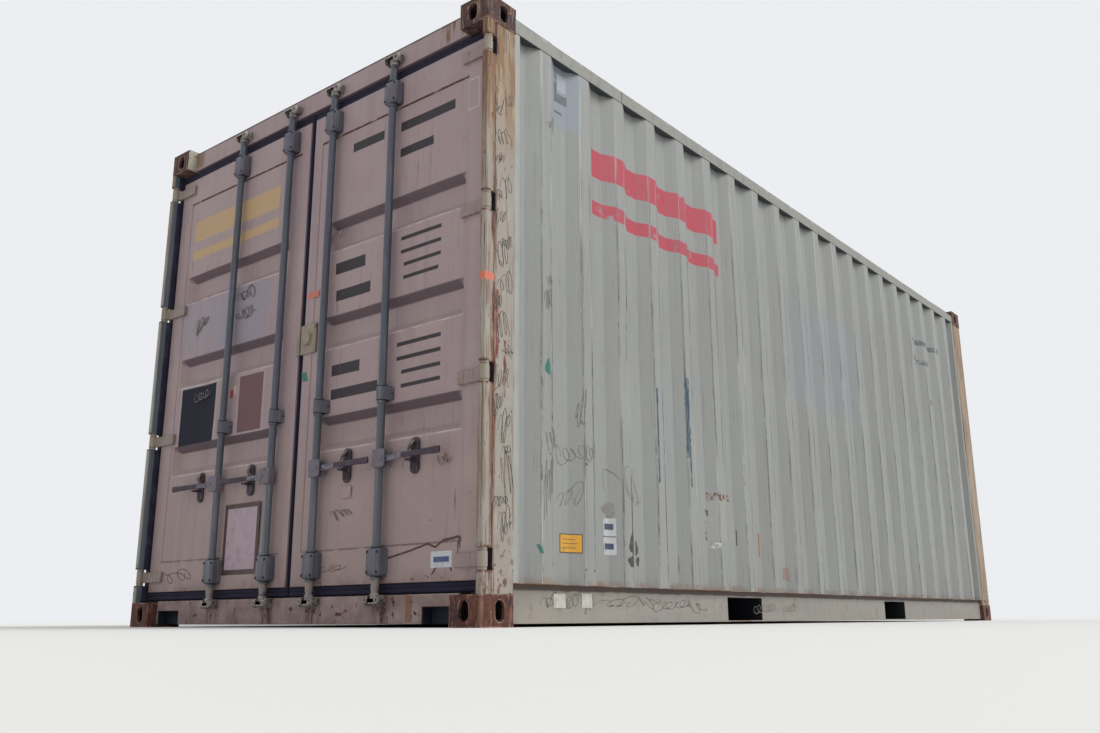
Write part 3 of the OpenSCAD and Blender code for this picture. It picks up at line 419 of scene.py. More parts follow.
def doorMarks():
    # plain pads and bars of paint on the leaves, where the real ones carry their lettering
    def bar(left, right, low, high):
        middle, half = (low + high) / 2, 0.19 * (high - low)
        return leafBlock(left, right, middle - half, middle + half, 1.2)

    dark = anyOf(bar, (311, 527, 2122, 2240), (638, 980, 2120, 2238), (638, 850, 1998, 2108),
                 (224, 430, 1526, 1670), (234, 470, 1398, 1534), (664, 912, 1614, 1660),
                 (664, 912, 1554, 1598), (684, 912, 1494, 1538), (684, 900, 1434, 1478),
                 (230, 420, 1046, 1180), (232, 542, 942, 1064), (658, 924, 1136, 1182),
                 (658, 924, 1074, 1120), (690, 924, 1014, 1058), (690, 924, 954, 998))
    frame = times(leafBlock(1058, 1126, 2112, 2256, 1),
                  addNode("Math", {0: 1.0, 1: leafBlock(1064, 1120, 2118, 2250, 1)},
                          operation="SUBTRACT"))
    yellow = anyOf(leafBlock, (-1020, -250, 2040, 2160, 1.5, 1, 30),
                   (-1020, -250, 1935, 1985, 1.5, 1, 30))
    marks = [
        (leafBlock(-700, -285, 1380, 1690, 20, 40, 140, 2.0, 0.5), "#858697", 0.5),
        (leafBlock(-1075, -640, 1385, 1690, 20, 40, 140, 5.0, 0.4), "#8B8A98", 0.5),
        (times(yellow, cloud(60, 0.14, 0.44, 13.0, 0.9)), "#BC9D72", 0.6),
        (leafBlock(-1020, -688, 896, 1222, 1.5, 1.5, 40, strength=0.5), "#B0A3A2", 0.6),
        (leafBlock(-1007, -700, 904, 1208, 1.5, 1.5, 40), "#0D0B24", 0.85),
        (leafBlock(-502, -276, 906, 1212, 2, 4, 30, strength=0.4), "#A89A98", 0.6),
        (leafBlock(-484, -292, 918, 1200, 1.5, 2, 40), "#6E4F54", 0.75),
        (leafBlock(-562, -536, 1102, 1142, 1.5, 2, 20), "#9A2F3C", 0.6),
        (leafBlock(-532, -512, 1118, 1160, 1.5, 2, 20), "#B9AC98", 0.6),
        (times(dark, cloud(12, 0.26, 0.34, 17.0, 0.97)), "#221D26", 0.65),
        (frame, "#B3A9AB", 0.5),
    ]
    outer = outside(1)
    return [(times(mask, outer), colour, gloss) for mask, colour, gloss in marks]


def doorPaint():
    # the same sort of paint in pinkish taupe on the doors and their frame: smoother sheets, painted shade
    # on every face that looks down and on the sill's set-back faces, a painted highlight along each
    # trough's lower fold, run marks below the lock gear
    startFinish("alkydDoorPaint")
    rust = rustColour("#35201D", "#6E412F")
    low = block((-1300, -3100, -10), (1300, 3100, 190), 40, 40, 90)
    pocket = times(block((-1300, -2975, 10), (1300, -2800, 123), 3), span(1, -2976, -2970))
    streakPlaces = [block((x - 46, -3100, 10), (x + 46, -2800, 126), 20) for x in rodPlaces]
    seams = most(block((79, 2900, 2271), (1064, 3000, 2280), 1, 2, 30, mirrored=True),
                 block((79, 2900, 314), (1064, 3000, 322), 1, 2, 30, 3.0, 0.5, mirrored=True))
    foldHighlights = most(*[block((152, 2900, level - 83), (1048, 3000, level - 75), 1.5, 1, 20,
                         mirrored=True) for level in troughLevels])
    layers = [
        (cloud(700, 0.35, 0.7, 1.0, 0.6), "#9A8589", 0.55),
        (cloud(240, 0.5, 0.72, 5.0, 0.5), "#AF9C97", 0.6),
        (span(2, 1100, 300, 0.35), "#A08D80", 0.6),
        (runs(90, 1500, 0.5, 0.74, 2.0, 0.5), "#917C82", 0.6),
        (runs(18, 700, 0.58, 0.72, 9.0, 0.45), "#857378", 0.6),
        (runs(30, 500, 0.62, 0.74, 12.0, 0.5), "#AA957C", 0.6),
        (cloud(22, 0.64, 0.72, 11.0, 0.55), "#7C6A6B", 0.6),
    ] + doorMarks() + [
        # painted shade on the faces that look down, such as the troughs' upper slopes
        (below(0.9), "#56474F", 0.7),
        # painted highlight along each trough's lower fold, where it catches the light
        (times(foldHighlights, cloud(60, 0.3, 0.6, 37.0, 0.85)), "#C2B4B0", 0.5),
        (times(low, cloud(140, 0.3, 0.7, 4.0, 0.75)), "#6A5650", 0.75),
        (times(most(*streakPlaces), runs(16, 240, 0.42, 0.58, 18.0, 0.9)), rust, 0.8),
        (block((768, -3000, 20), (806, -2950, 124), 2, 3, 20, 4.0, 0.75), "#7F5232", 0.7),
        (times(runs(14, 300, 0.64, 0.72, 27.0), cloud(400, 0.5, 0.62, 8.0)), "#4B3E40", 0.55),
        (times(seams, cloud(60, 0.36, 0.5, 21.0)), "#54382F", 0.7),
        (cloud(8, 0.73, 0.745, 31.0), rust, 0.85),
        (times(low, cloud(30, 0.6, 0.66, 14.0)), rust, 0.85),
        (leafBlock(-1060, -985, 2490, 2586, 14, 16, 50, 6.0, 0.7), "#7D6043", 0.7),
        (times(leafBlock(900, 1060, 2490, 2600, 20, 30, 70, 2.0),
               runs(24, 200, 0.42, 0.6, 3.0)), "#77553A", 0.7),
        (block((-1300, -2990, 2572), (1300, -2800, 2600), 2, 4, 60), "#46343B", 0.7),
        (block((780, -2990, 123), (1062, -2970, 132), 1, 2, 20), "#B3AB9B", 0.6),
        # near-black painted shade on the sill's set-back faces
        (pocket, "#161B2E", 0.7),
    ]
    bumps = [(cloud(3, 0.2, 0.8, 1.0), 0.05), (cloud(40, 0.3, 0.8, 7.0), 0.5)]
    return finished("#A38E8F", 0.48, layers, bumps)


def postPaint():
    # cream alkyd paint on the folded corner posts: tan and brown towards the top, rusted through
    # along the step behind the nose, with dark pits; the left nose's inner face is grey, with rubber smear
    # and painted shade on its rear part, and painted shade in the hinge slots
    startFinish("rustedPostPaint")
    rust = rustColour("#3E1E18", "#75452F")
    high = most(span(2, 1700, 2350), span(1, 2000, 2900, 0.6))
    step = block((-1300, -2990, 110), (1300, -2960, 2480), 7, 9, 60)
    line = block((-1300, -2978, 110), (1300, -2970, 2480), 2, 3, 40)
    inner = block((-1189.5, -3027, 110), (-1184, -2968, 2480), 1, 1, 40)
    sealAndShade = block((-1189.5, -2999, 110), (-1184, -2960, 2480), 3, 4, 90)
    slotShade = most(*[block((1100, 2967, z - 40), (1300, 2993, z + 40), 1.5, 3, 30, mirrored=True)
                   for z in hingeLevels])
    rims = most(*[block((1100, 2970, z - 5), (1300, 3040, z + 5), 3, mirrored=True)
                  for level in hingeLevels for z in (level - 44, level + 44)])
    spots = cloud(15, 0.64, 0.68, 17.0, long=(1, 1, 2.4))
    nose = block((1150, -3040, 110), (1300, -2972, 2480), 3, 4, 40)
    rear = span(1, -2900, -2950)
    layers = [
        (cloud(260, 0.4, 0.7, 1.0, 0.6), "#8B847C", 0.6),
        (cloud(70, 0.5, 0.7, 3.0, 0.5, long=(1, 1, 3)), "#A7A197", 0.6),
        (times(high, cloud(260, 0.2, 0.5, 2.0, 0.9, long=(1, 1, 4))), "#99826A", 0.65),
        (times(high, cloud(50, 0.45, 0.58, 7.0, 0.85, long=(1, 1, 9))), "#80603F", 0.7),
        (times(high, cloud(20, 0.54, 0.62, 47.0, 0.85, long=(1, 1, 14))), "#5E4433", 0.75),
        (times(high, cloud(34, 0.58, 0.66, 53.0, 0.7, long=(1, 1, 6))), "#B8A07C", 0.65),
        (cloud(24, 0.58, 0.66, 9.0, 0.7, long=(1, 1, 12)), "#7D6856", 0.7),
        (times(step, cloud(40, 0.42, 0.56, 21.0, 0.85, long=(1, 1, 7))), "#7C4F3B", 0.8),
        (times(step, cloud(24, 0.52, 0.6, 25.0, long=(1, 1, 9))), "#562920", 0.85),
        (times(line, cloud(30, 0.4, 0.5, 3.0, 0.9, long=(1, 1, 5))), "#362422", 0.85),
        (times(most(wallBlock(-2960, -2944, 1010, 1290, 4, 8, 40, 3.0),
                    wallBlock(-2913, -2900, 860, 1090, 4, 8, 40, 5.0)),
               runs(9, 90, 0.36, 0.5, 2.0)), "#713127", 0.85),
        (times(worn(9), cloud(40, 0.5, 0.6, 21.0, long=(1, 1, 6))), rust, 0.85),
        (times(spots, cloud(260, 0.36, 0.5, 19.0)), rust, 0.85),
        (times(rims, rear, cloud(20, 0.36, 0.5, 23.0, 0.9)), "#4F3328", 0.8),
        (times(block((1180, -3040, 110), (1300, -3019, 2480), 3), high,
               cloud(30, 0.4, 0.56, 27.0, long=(1, 1, 8))), "#6E4B36", 0.8),
        (cloud(8, 0.68, 0.72, 31.0, long=(1, 1, 2)), "#2F1F1A", 0.85),
        (times(nose, runs(10, 300, 0.5, 0.6, 43.0, 0.75)), "#7A5A42", 0.75),
        (times(nose, runs(5, 200, 0.58, 0.66, 49.0, 0.85)), "#4A3028", 0.8),
        (times(span(2, 420, 150), cloud(34, 0.52, 0.62, 41.0, 0.8)), rust, 0.85),
        (block((1150, -3040, 1318), (1300, -2972, 1350), 1.5, 3, 20), "#CC7058", 0.55),
        # painted shade in the hinge slots of the noses
        (times(slotShade, rear), "#1D1A26", 0.8),
        (inner, "#626D75", 0.5),
        (times(inner, runs(20, 700, 0.5, 0.66, 12.0, 0.6)), "#4C5459", 0.5),
        # rubber smear from the seal, together with painted shade, on the rear part of the left nose's inner
        # face
        (sealAndShade, "#26243A", 0.6),
    ]
    bumps = [(cloud(5, 0.3, 0.8, 1.0), 0.15), (cloud(15, 0.64, 0.68, 17.0, long=(1, 1, 2.4)), -0.4)]
    return finished("#9A9288", 0.6, layers, bumps)


def castSteel(name, base, dark, scraps):
    # cast steel corner fitting, its paint knocked off by locks and hooks: rust in coarse sand
    # texture with scraps of cream paint
    startFinish(name)
    rust = rustColour(dark, base)
    layers = [
        (cloud(60, 0.3, 0.7, 1.0), rust, 0.85),
        (cloud(90, 0.55, 0.68, 6.0, 0.8), "#2C2028", 0.8),
        (runs(22, 180, 0.56, 0.66, 9.0, 0.8), scraps, 0.75),
        (runs(12, 60, 0.6, 0.68, 44.0, 0.8), "#A3835F", 0.75),
        (times(worn(9), cloud(40, 0.46, 0.58, 12.0)), "#B58F80", 0.75),
        (times(span(0, 1060, 1058, mirrored=True), span(2, 2460, 2476),
               span(1, 0, -100), cloud(60, 0.3, 0.46, 3.0)), "#A29C8B", 0.65),
        # near-black painted shade in the castings' hollows behind their holes
        (most(block((1072, 2866, 14), (1206, 3014, 104), 2, mirrored=True),
              block((1072, 2866, 2487), (1206, 3014, 2577), 2, mirrored=True)), "#1B1722", 0.85),
    ]
    bumps = [(cloud(6, 0.2, 0.8, 1.0, detail=8), 0.7), (cloud(50, 0.3, 0.7, 5.0), 1.6)]
    return finished(base, 0.85, layers, bumps)


def rodPaint(name, base):
    # zinc-coated round steel, painted blue-grey: satin, bleached towards the foot, where hands and
    # ropes rub it, and worn to the pale zinc under the lowest collars
    startFinish(name)
    layers = [
        (cloud(200, 0.4, 0.7, 1.0, 0.6), "#464854", 0.5),
        (times(span(2, 1000, 500, 0.7), runs(20, 600, 0.4, 0.6, 4.0)), "#6E7279", 0.45),
        (runs(14, 400, 0.56, 0.7, 2.0, 0.5), "#7A7E84", 0.45),
        (runs(9, 240, 0.62, 0.7, 9.0, 0.6), "#4A404A", 0.6),
        (times(worn(3), cloud(40, 0.45, 0.6, 12.0)), "#7C7978", 0.5),
        (times(span(2, 192, 184), cloud(30, 0.3, 0.5, 5.0, 0.95)), "#978B85", 0.6),
        (cloud(12, 0.69, 0.72, 31.0), "#43322D", 0.8),
        # painted shade in the thin gaps between the collars and the brackets
        (most(*[block((-1300, -3050, z - 2), (1300, -2960, z + 2), 1) for z in gapLevels]),
         "#1F1C25", 0.7),
    ]
    bumps = [(cloud(3, 0.2, 0.8, 1.0), 0.06)]
    return finished(base, 0.42, layers, bumps)


def forgedZinc(name, base, grease):
    # drop-forged steel, hot-dip galvanised: pale and dull where it is rubbed, with black grease and
    # rust over the rest
    startFinish(name)
    rust = rustColour()
    layers = [
        (cloud(26, 0.36, 0.56, 1.0, grease), "#4A4145", 0.6),
        (times(worn(4), cloud(18, 0.36, 0.5, 12.0)), "#C2BAAB", 0.45),
        (cloud(14, 0.56, 0.64, 6.0, grease), "#2E272C", 0.65),
        (cloud(16, 0.58, 0.68, 9.0, 0.85), rust, 0.85),
    ]
    bumps = [(cloud(5, 0.2, 0.8, 1.0), 0.35)]
    return finished(base, 0.6, layers, bumps)


def handleSteel(name, base):
    # forged handle and its catch: old dark zinc under road film, browned by rust
    startFinish(name)
    roots = [block((min(x, x + way * 150), -3100, 600), (max(x, x + way * 150), -2900, 740), 12)
             for x, way in zip(rodPlaces, rodWays)]
    layers = [
        (times(most(*roots), cloud(30, 0.3, 0.5, 3.0)), "#7D7680", 0.5),
        (cloud(50, 0.42, 0.66, 1.0, 0.5), "#57475A", 0.6),
        (cloud(24, 0.55, 0.66, 6.0, 0.8), "#3A3032", 0.6),
        (times(worn(3), cloud(30, 0.46, 0.6, 12.0, 0.6)), "#83777C", 0.5),
        (cloud(16, 0.64, 0.7, 9.0, 0.8), "#5C392D", 0.8),
    ]
    bumps = [(cloud(4, 0.2, 0.8, 1.0), 0.2)]
    return finished(base, 0.68, layers, bumps)


def hingePaint():
    # the door's paint on the forged hinges, thick and rubbed; the knuckles are cream like the posts
    startFinish("hingePaint")
    rust = rustColour()
    layers = [
        (cloud(80, 0.4, 0.7, 1.0, 0.6), "#87746F", 0.55),
        (span(0, -900, -1000, 0.6), "#8E8579", 0.55),
        (span(0, 1180, 1186, mirrored=True), "#968B7D", 0.55),
        (runs(9, 120, 0.56, 0.66, 9.0, 0.7), "#725E4A", 0.65),
        (times(worn(4), cloud(20, 0.48, 0.6, 12.0)), rust, 0.8),
        (cloud(12, 0.68, 0.72, 15.0), rust, 0.85),
    ]
    bumps = [(cloud(5, 0.2, 0.8, 1.0), 0.2)]
    return finished("#92807E", 0.5, layers, bumps)


def gasketRubber():
    # extruded black rubber door seal: matt, bloomed blue-grey with road dust on its lips
    startFinish("doorSealRubber")
    layers = [
        (cloud(120, 0.4, 0.7, 1.0, 0.5), "#1C1838", 0.9),
        (cloud(40, 0.6, 0.7, 6.0, 0.4), "#35314C", 0.9),
        (cloud(14, 0.7, 0.75, 9.0, 0.6), "#7A7570", 0.85),
    ]
    bumps = [(cloud(6, 0.2, 0.8, 1.0), 0.15)]
    return finished("#120F29", 0.88, layers, bumps)


def railPaint():
    # the wall's paint on the rails: handled more, so greyer, scuffed and rusting at its edges, with painted
    # shade under the top rail and under the wall's foot
    startFinish("alkydRailPaint")
    rust = rustColour()
    layers = [
        (cloud(500, 0.4, 0.7, 1.0, 0.6), "#918F89", 0.55),
        (runs(40, 160, 0.5, 0.68, 2.0, 0.5), "#7B7974", 0.6),
        (cloud(90, 0.58, 0.7, 5.0, 0.5), "#7A6F66", 0.65),
        # painted shade on the top rail's underside
        (times(below(), span(2, 2300, 2400)), "#363A3E", 0.75),
        (times(block((-1300, -2860, 2538), (1300, 2860, 2560), 3, 8, 60, 8.0),
               cloud(110, 0.52, 0.62, 12.0, 0.8)), "#B2B1AC", 0.55),
        (times(block((-1300, -2860, 2543), (1300, 2860, 2560), 1, 6, 30, 9.0),
               cloud(70, 0.56, 0.62, 15.0, 0.9)), "#5B3A30", 0.8),
        (block((1150, -2060, 2480), (1300, -2055, 2560), 1, 2, 20), "#5A3C33", 0.8),
        (block((1150, -1278, 2480), (1300, -1275, 2560), 1, 1, 20), "#6A6058", 0.7),
        (span(2, 400, 300, 0.5), "#918980", 0.6),
        (times(span(2, 400, 300), span(1, -1600, -2700),
               cloud(300, 0.4, 0.6, 9.0, 0.45)), "#A3988A", 0.6),
        (times(span(2, 400, 300), cloud(60, 0.56, 0.68, 27.0, 0.6)), "#84766C", 0.65),
        # painted shadow under the wall's foot on the bottom rail's web, with rust and dirt in it
        (block((-1300, -2860, 137), (1300, 2860, 160), 4, 7, 80, 3.0, 0.9), "#4E3E38", 0.75),
        (times(block((-1300, -2860, 156), (1300, 2860, 164), 1, 3, 30, 6.0),
               cloud(90, 0.44, 0.6, 4.0)), "#634434", 0.8),
        (times(worn(6), cloud(160, 0.48, 0.58, 21.0, long=(1, 3, 1))), rust, 0.85),
        (cloud(14, 0.7, 0.73, 31.0), rust, 0.85),
    ]
    bumps = [(cloud(4, 0.2, 0.8, 1.0), 0.08), (cloud(60, 0.3, 0.8, 7.0), 0.6)]
    return finished("#8B8B85", 0.52, layers, bumps)


def plywood():
    # hardwood plywood in long sheets, oiled and trodden: brown with dark scores along the length
    startFinish("hardwoodPlywood")
    layers = [
        (cloud(30, 0.35, 0.7, 1.0, 0.7, long=(1, 20, 1)), "#6B4630", 0.6),
        (cloud(7, 0.5, 0.7, 5.0, 0.6, long=(1, 40, 1)), "#4A3223", 0.65),
        (cloud(300, 0.5, 0.7, 8.0, 0.6), "#3E332C", 0.7),
        (cloud(12, 0.7, 0.74, 9.0, 0.6, long=(1, 14, 1)), "#A98D6A", 0.6),
    ]
    bumps = [(cloud(7, 0.3, 0.7, 5.0, long=(1, 40, 1)), 0.4)]
    return finished("#80573A", 0.6, layers, bumps)


def dustyCoat(name, base, dust, rusty):
    # a brushed coat dulled by dust and spotted with rust: bitumen wax under the floor, grease on the
    # rivets, old zinc on the hubs, cream paint on the seal plates, and a near-black coat that is painted
    # shade in the fork pockets
    startFinish(name)
    layers = [
        (cloud(120, 0.45, 0.7, 1.0, 0.7), dust, 0.8),
        (cloud(40, 0.6, 0.7, 6.0, 0.8), rusty, 0.85),
    ]
    bumps = [(cloud(14, 0.2, 0.8, 1.0), 0.8)]
    return finished(base, 0.7, layers, bumps)


def film(name, colour, peel=0.66, shape=wallBlock, prints=()):
    # self-adhesive vinyl, faded and dirty, its surface scratched through in places; prints lists
    # plain bars as (place of a block of that shape, colour)
    startFinish(name)
    layers = [(shape(*place, 0.8), over, 0.45) for place, over in prints] + [
        (cloud(30, 0.45, 0.72, 1.0, 0.35), "#6B6560", 0.6),
        (cloud(9, peel, peel + 0.05, 5.0, 0.8), "#6B6560", 0.6),
        (runs(4, 60, 0.66, 0.72, 9.0, 0.5), "#3F3C3C", 0.6),
    ]
    return finished(colour, 0.45, layers)


def marker(name, colour, gaps=0.42):
    # felt-pen or chalk strokes, half rubbed away
    startFinish(name)
    layers = [(cloud(22, gaps, gaps + 0.2, 1.0, 0.7), "#8B8074", 0.7)]
    return finished(colour, 0.6, layers)


# Meshes worked out as whole arrays, in mm

def gridFaces(rows, columns, roundRows=False, roundColumns=False):
    # the quads between neighbouring rows and columns; a round direction joins its end to its start
    row = np.arange(rows if roundRows else rows - 1)
    column = np.arange(columns if roundColumns else columns - 1)
    row, column = np.meshgrid(row, column, indexing="ij")
    nextRow, nextColumn = (row + 1) % rows, (column + 1) % columns
    quads = [row * columns + column, nextRow * columns + column,
             nextRow * columns + nextColumn, row * columns + nextColumn]
    return np.stack(quads, -1).reshape(-1, 4)


def xyz(x, y, z):
    # points from three arrays that broadcast together
    return np.stack(np.broadcast_arrays(x, y, z), -1)


def circle(count):
    # angles spaced evenly all the way round
    return np.arange(count) * 2 * math.pi / count


def outward(points, faces):
    # faces of a closed surface, turned over if the volume that they enclose comes out negative
    volume = 0.0
    for face in faces:
        first = points[face[:, 0]]
        for k in range(1, face.shape[1] - 1):
            cross = np.cross(points[face[:, k]], points[face[:, k + 1]])
            volume += np.einsum("ij,ij->", first, cross)
    return faces if volume > 0 else [face[:, ::-1] for face in faces]


def tube(rings):
    # rings of points, one after the other along a path, joined into a skin and closed at both ends
    rings = np.asarray(rings, float)
    count, around = rings.shape[:2]
    points = rings.reshape(-1, 3)
    ends = np.arange(around)[None]
    faces = [gridFaces(count, around, roundColumns=True), ends[:, ::-1], ends + (count - 1) * around]
    return points, outward(points, faces)


def loopOf(rings):
    # rings of points along a path that comes back to its start
    rings = np.asarray(rings, float)
    count, around = rings.shape[:2]
    points = rings.reshape(-1, 3)
    return points, outward(points, [gridFaces(count, around, True, True)])


def sheetOf(outer, inner):
    # a sheet between two grids of points, closed round its edge
    both = np.concatenate([outer, inner[:, ::-1]], axis=1)
    rows, around = both.shape[:2]
    columns = outer.shape[1]
    points = both.reshape(-1, 3)
    j = np.arange(columns - 1)
    edge = np.stack([j, j + 1, around - 2 - j, around - 1 - j], -1)
    faces = [gridFaces(rows, around, roundColumns=True), edge, edge[:, ::-1] + (rows - 1) * around]
    return points, outward(points, faces)


def joined(parts):
    # several meshes as one
    points, faces, start = [], [], 0
    for somePoints, someFaces in parts:
        points.append(somePoints)
        faces += [face + start for face in someFaces]
        start += len(somePoints)
    return np.concatenate(points), faces


def makePiece(name, parts, paint, body="container", slotName="grey_paint", stands=(), sharp=40.0):
    # puts the arrays into a mesh, in metres, and seats it on its body; stands names the CAD nodes
    # that it takes the place of
    points, faces = joined(parts)
    loops = np.concatenate([face.ravel() for face in faces])
    sizes = np.concatenate([np.full(len(face), face.shape[1]) for face in faces])
    mesh = bpy.data.meshes.new(name)
    mesh.vertices.add(len(points))
    mesh.vertices.foreach_set("co", (points * mm).astype(np.float32).ravel())
    mesh.loops.add(len(loops))
    mesh.loops.foreach_set("vertex_index", loops.astype(np.int32))
    mesh.polygons.add(len(sizes))
    mesh.polygons.foreach_set("loop_start", (np.cumsum(sizes) - sizes).astype(np.int32))
    mesh.update(calc_edges=True)
    mesh.polygons.foreach_set("use_smooth", np.ones(len(sizes), bool))
    mesh.set_sharp_from_angle(angle=math.radians(sharp))
    return seat(name, mesh, paint, body, stands)


def seat(name, mesh, paint, body, stands=()):
    mesh.materials.clear()
    mesh.materials.append(paints[paint] if isinstance(paint, str) else paint)
    piece = bpy.data.objects.new(name, mesh)
    bpy.context.scene.collection.objects.link(piece)
    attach(piece, body)
    if stands:
        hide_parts(*stands)
    return piece


def rounded(piece, width, segments):
    # rounds the piece's sharp edges
    bevel = piece.modifiers.new("rounding", "BEVEL")
    bevel.width = width * mm
    bevel.segments = segments
    bevel.limit_method = "ANGLE"
    bevel.angle_limit = math.radians(38.0)
    return bevel


def softened(node, width, paint, body, segments=2):
    # a copy of a CAD node, its triangles merged into faces and its edges rounded
    mesh = nodes[node].data.copy()
    work = bmesh.new()
    work.from_mesh(mesh)
    bmesh.ops.remove_doubles(work, verts=work.verts, dist=0.01 * mm)
    bmesh.ops.dissolve_limit(work, angle_limit=math.radians(1.0), verts=work.verts, edges=work.edges)
    work.to_mesh(mesh)
    work.free()
    mesh.polygons.foreach_set("use_smooth", np.ones(len(mesh.polygons), bool))
    mesh.set_sharp_from_angle(angle=math.radians(60.0))
    piece = seat(node + "_edged", mesh, paint, body, [node])
    bevel = rounded(piece, width, segments)
    bevel.miter_outer = "MITER_ARC"
    bevel.harden_normals = True


def frameBox(node):
    # a node's lowest and highest corner in mm
    low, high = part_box(node)
    return np.array(low) / mm, np.array(high) / mm


def roundedBox(halfWide, halfHigh, corner, steps=6):
    # outline of a rectangle with round corners, about the origin
    turn = np.linspace(0, math.pi / 2, steps)
    centres = np.array([[1, 1], [-1, 1], [-1, -1], [1, -1]]) * [halfWide - corner, halfHigh - corner]
    angles = turn[None] + np.arange(4)[:, None] * math.pi / 2
    ring = centres[:, None] + corner * np.stack([np.cos(angles), np.sin(angles)], -1)
    return ring.reshape(-1, 2)


def plate(middle, halfWide, halfHigh, corner, back, front, edge=1.5, wide=(1, 0, 0), high=(0, 0, 1),
          out=(0, -1, 0)):
    # a flat plate with round corners and a rounded rim, from back to front along out, in mm
    edge = min(edge, corner * 0.9, abs(front - back) * 0.45)
    bend = np.linspace(0, math.pi / 2, 4)
    inset = edge * np.concatenate([1 - np.sin(bend), 1 - np.cos(bend)])
    level = np.concatenate([back + edge * (1 - np.cos(bend)), front - edge * (1 - np.sin(bend))])
    rings = np.stack([roundedBox(halfWide - i, halfHigh - i, corner - i) for i in inset])
    wide, high, out = np.array(wide, float), np.array(high, float), np.array(out, float)
    points = (np.array(middle, float) + rings[..., :1] * wide + rings[..., 1:] * high
              + level[:, None, None] * out)
    return tube(points)


def turned(middle, profile, along=(0, -1, 0), sides=20, flats=0):
    # a turned piece: a profile of (distance along, radius) swept round its axis; flats makes a nut
    profile = np.array(profile, float)
    along = np.array(along, float)
    side = np.cross(along, [0.3, 0.1, 0.94])
    side /= np.linalg.norm(side)
    other = np.cross(along, side)
    angle = circle(sides)
    bulge = 1.0
    if flats:
        part = (angle + math.pi / flats) % (2 * math.pi / flats) - math.pi / flats
        bulge = 1 / np.cos(part) * math.cos(math.pi / flats) * 1.07
    spokes = (np.cos(angle) * bulge)[:, None] * side + (np.sin(angle) * bulge)[:, None] * other
    points = (np.array(middle, float) + profile[:, 0, None, None] * along
              + profile[:, 1, None, None] * spokes)
    return tube(points)


def domeHead(middle, radius, height, along=(0, -1, 0), sides=14):
    # a round rivet head: a quarter circle swept round
    bend = np.linspace(0, math.pi / 2 * 0.92, 5)
    profile = np.stack([-1 + (height + 1) * np.sin(bend), radius * np.cos(bend)], -1)
    return turned(middle, profile, along, sides)


def bead(start, end, radius, pitch=7.0, seed=1, across=(1, 0, 0)):
    # a weld bead: a half-sunk cord whose radius ripples along the seam
    start, end = np.array(start, float), np.array(end, float)
    length = np.linalg.norm(end - start)
    steps = max(int(length / pitch) * 3, 6)
    t = np.linspace(0, 1, steps)
    random = np.random.default_rng(seed)
    ripple = 1 + 0.14 * np.sin(t * length / pitch * 2 * math.pi) + 0.1 * random.standard_normal(steps)
    ripple[[0, -1]] = 0.3
    direction = (end - start) / length
    side = np.array(across, float)
    other = np.cross(direction, side)
    angle = circle(6)
    spokes = np.cos(angle)[:, None] * side + np.sin(angle)[:, None] * other
    points = start + (end - start) * t[:, None, None] + radius * ripple[:, None, None] * spokes
    return tube(points)


# Where things are, read from the frame, in mm

leafLow, leafHigh = frameBox("right_door_frame")
gasketLow, gasketHigh = frameBox("right_door_gasket")
doorFace = leafLow[1]
rodBodies = ["right_outer", "right_inner", "left_inner", "left_outer"]
rodJoints = {joint["child"]: joint for joint in frame["joints"]}
rodPlaces = [rodJoints[name + "_rod"]["pos_m"][0] / mm for name in rodBodies]
rodWays = [1 if x > 0 else -1 for x in rodPlaces]  # the side to which its handle points
rodDepth = rodJoints["right_outer_rod"]["pos_m"][1] / mm
handleLevel = rodJoints["right_outer_handle"]["pos_m"][2] / mm
rearLine = frameBox("rear_top_castings")[1][1]
frontLine = frameBox("front_top_castings")[0][1]
hingeLevels = (245, 950, 1655, 2360)  # heights of the hinges on each post
troughLevels = (831, 1298, 1765)  # middles of the troughs in the doors
gapLevels = (198, 312, 920, 980, 2288, 2401)  # the thin gaps between a rod's collars and its brackets

# Corrugated sheets

def wavePitch(look):
    return look["crest"] + look["valley"] + 2 * look["slope"]


def ribDepth(along, start, look):
    # how far a trapezoid wave is down from its crest, 0 to 1, its corners rounded by averaging the
    # straight wave over a short stretch
    reach = np.linspace(-0.5, 0.5, 9) * look["fold"]
    phase = (along[..., None] + reach - start) % wavePitch(look)
    near = np.minimum(phase, wavePitch(look) - look["crest"] - phase)
    return np.clip(near / look["slope"], 0, 1).mean(-1)


def ribStations(low, high, start, look, extra=()):
    # stations along the wave, close together at its folds
    pitch, crest, valley, slope = wavePitch(look), look["crest"], look["valley"], look["slope"]
    folds = np.array([0, slope, slope + valley, 2 * slope + valley])
    near = folds[:, None] + np.array([-0.55, -0.25, 0, 0.25, 0.55]) * look["fold"]
    flats = np.array([slope + valley / 2, 2 * slope + valley + crest / 2])
    once = np.concatenate([near.ravel(), flats])
    count = math.ceil((high - low) / pitch) + 2
    every = (start - pitch + once[None] + np.arange(count)[:, None] * pitch).ravel()
    inside = every[(every > low + 1) & (every < high - 1)]
    return np.unique(np.round(np.concatenate([[low], inside, [high], extra]), 3))


def dents(u, v, look, seed, spanU, spanV):
    # shallow dents: a sum of smooth round hollows at scattered places
    random = np.random.default_rng(seed)
    size, depth = look["dentSize"], look["dentDepth"]
    total = np.zeros(np.broadcast(u, v).shape)
    for _ in range(look["dents"]):
        cu, cv = random.uniform(*spanU), random.uniform(*spanV)
        ru, rv = size * random.uniform(0.4, 1.0), size * random.uniform(0.6, 1.8)
        deep = depth * random.uniform(0.3, 1)
        total += deep * np.exp(-((u - cu) / ru) ** 2 - ((v - cv) / rv) ** 2)
    return total


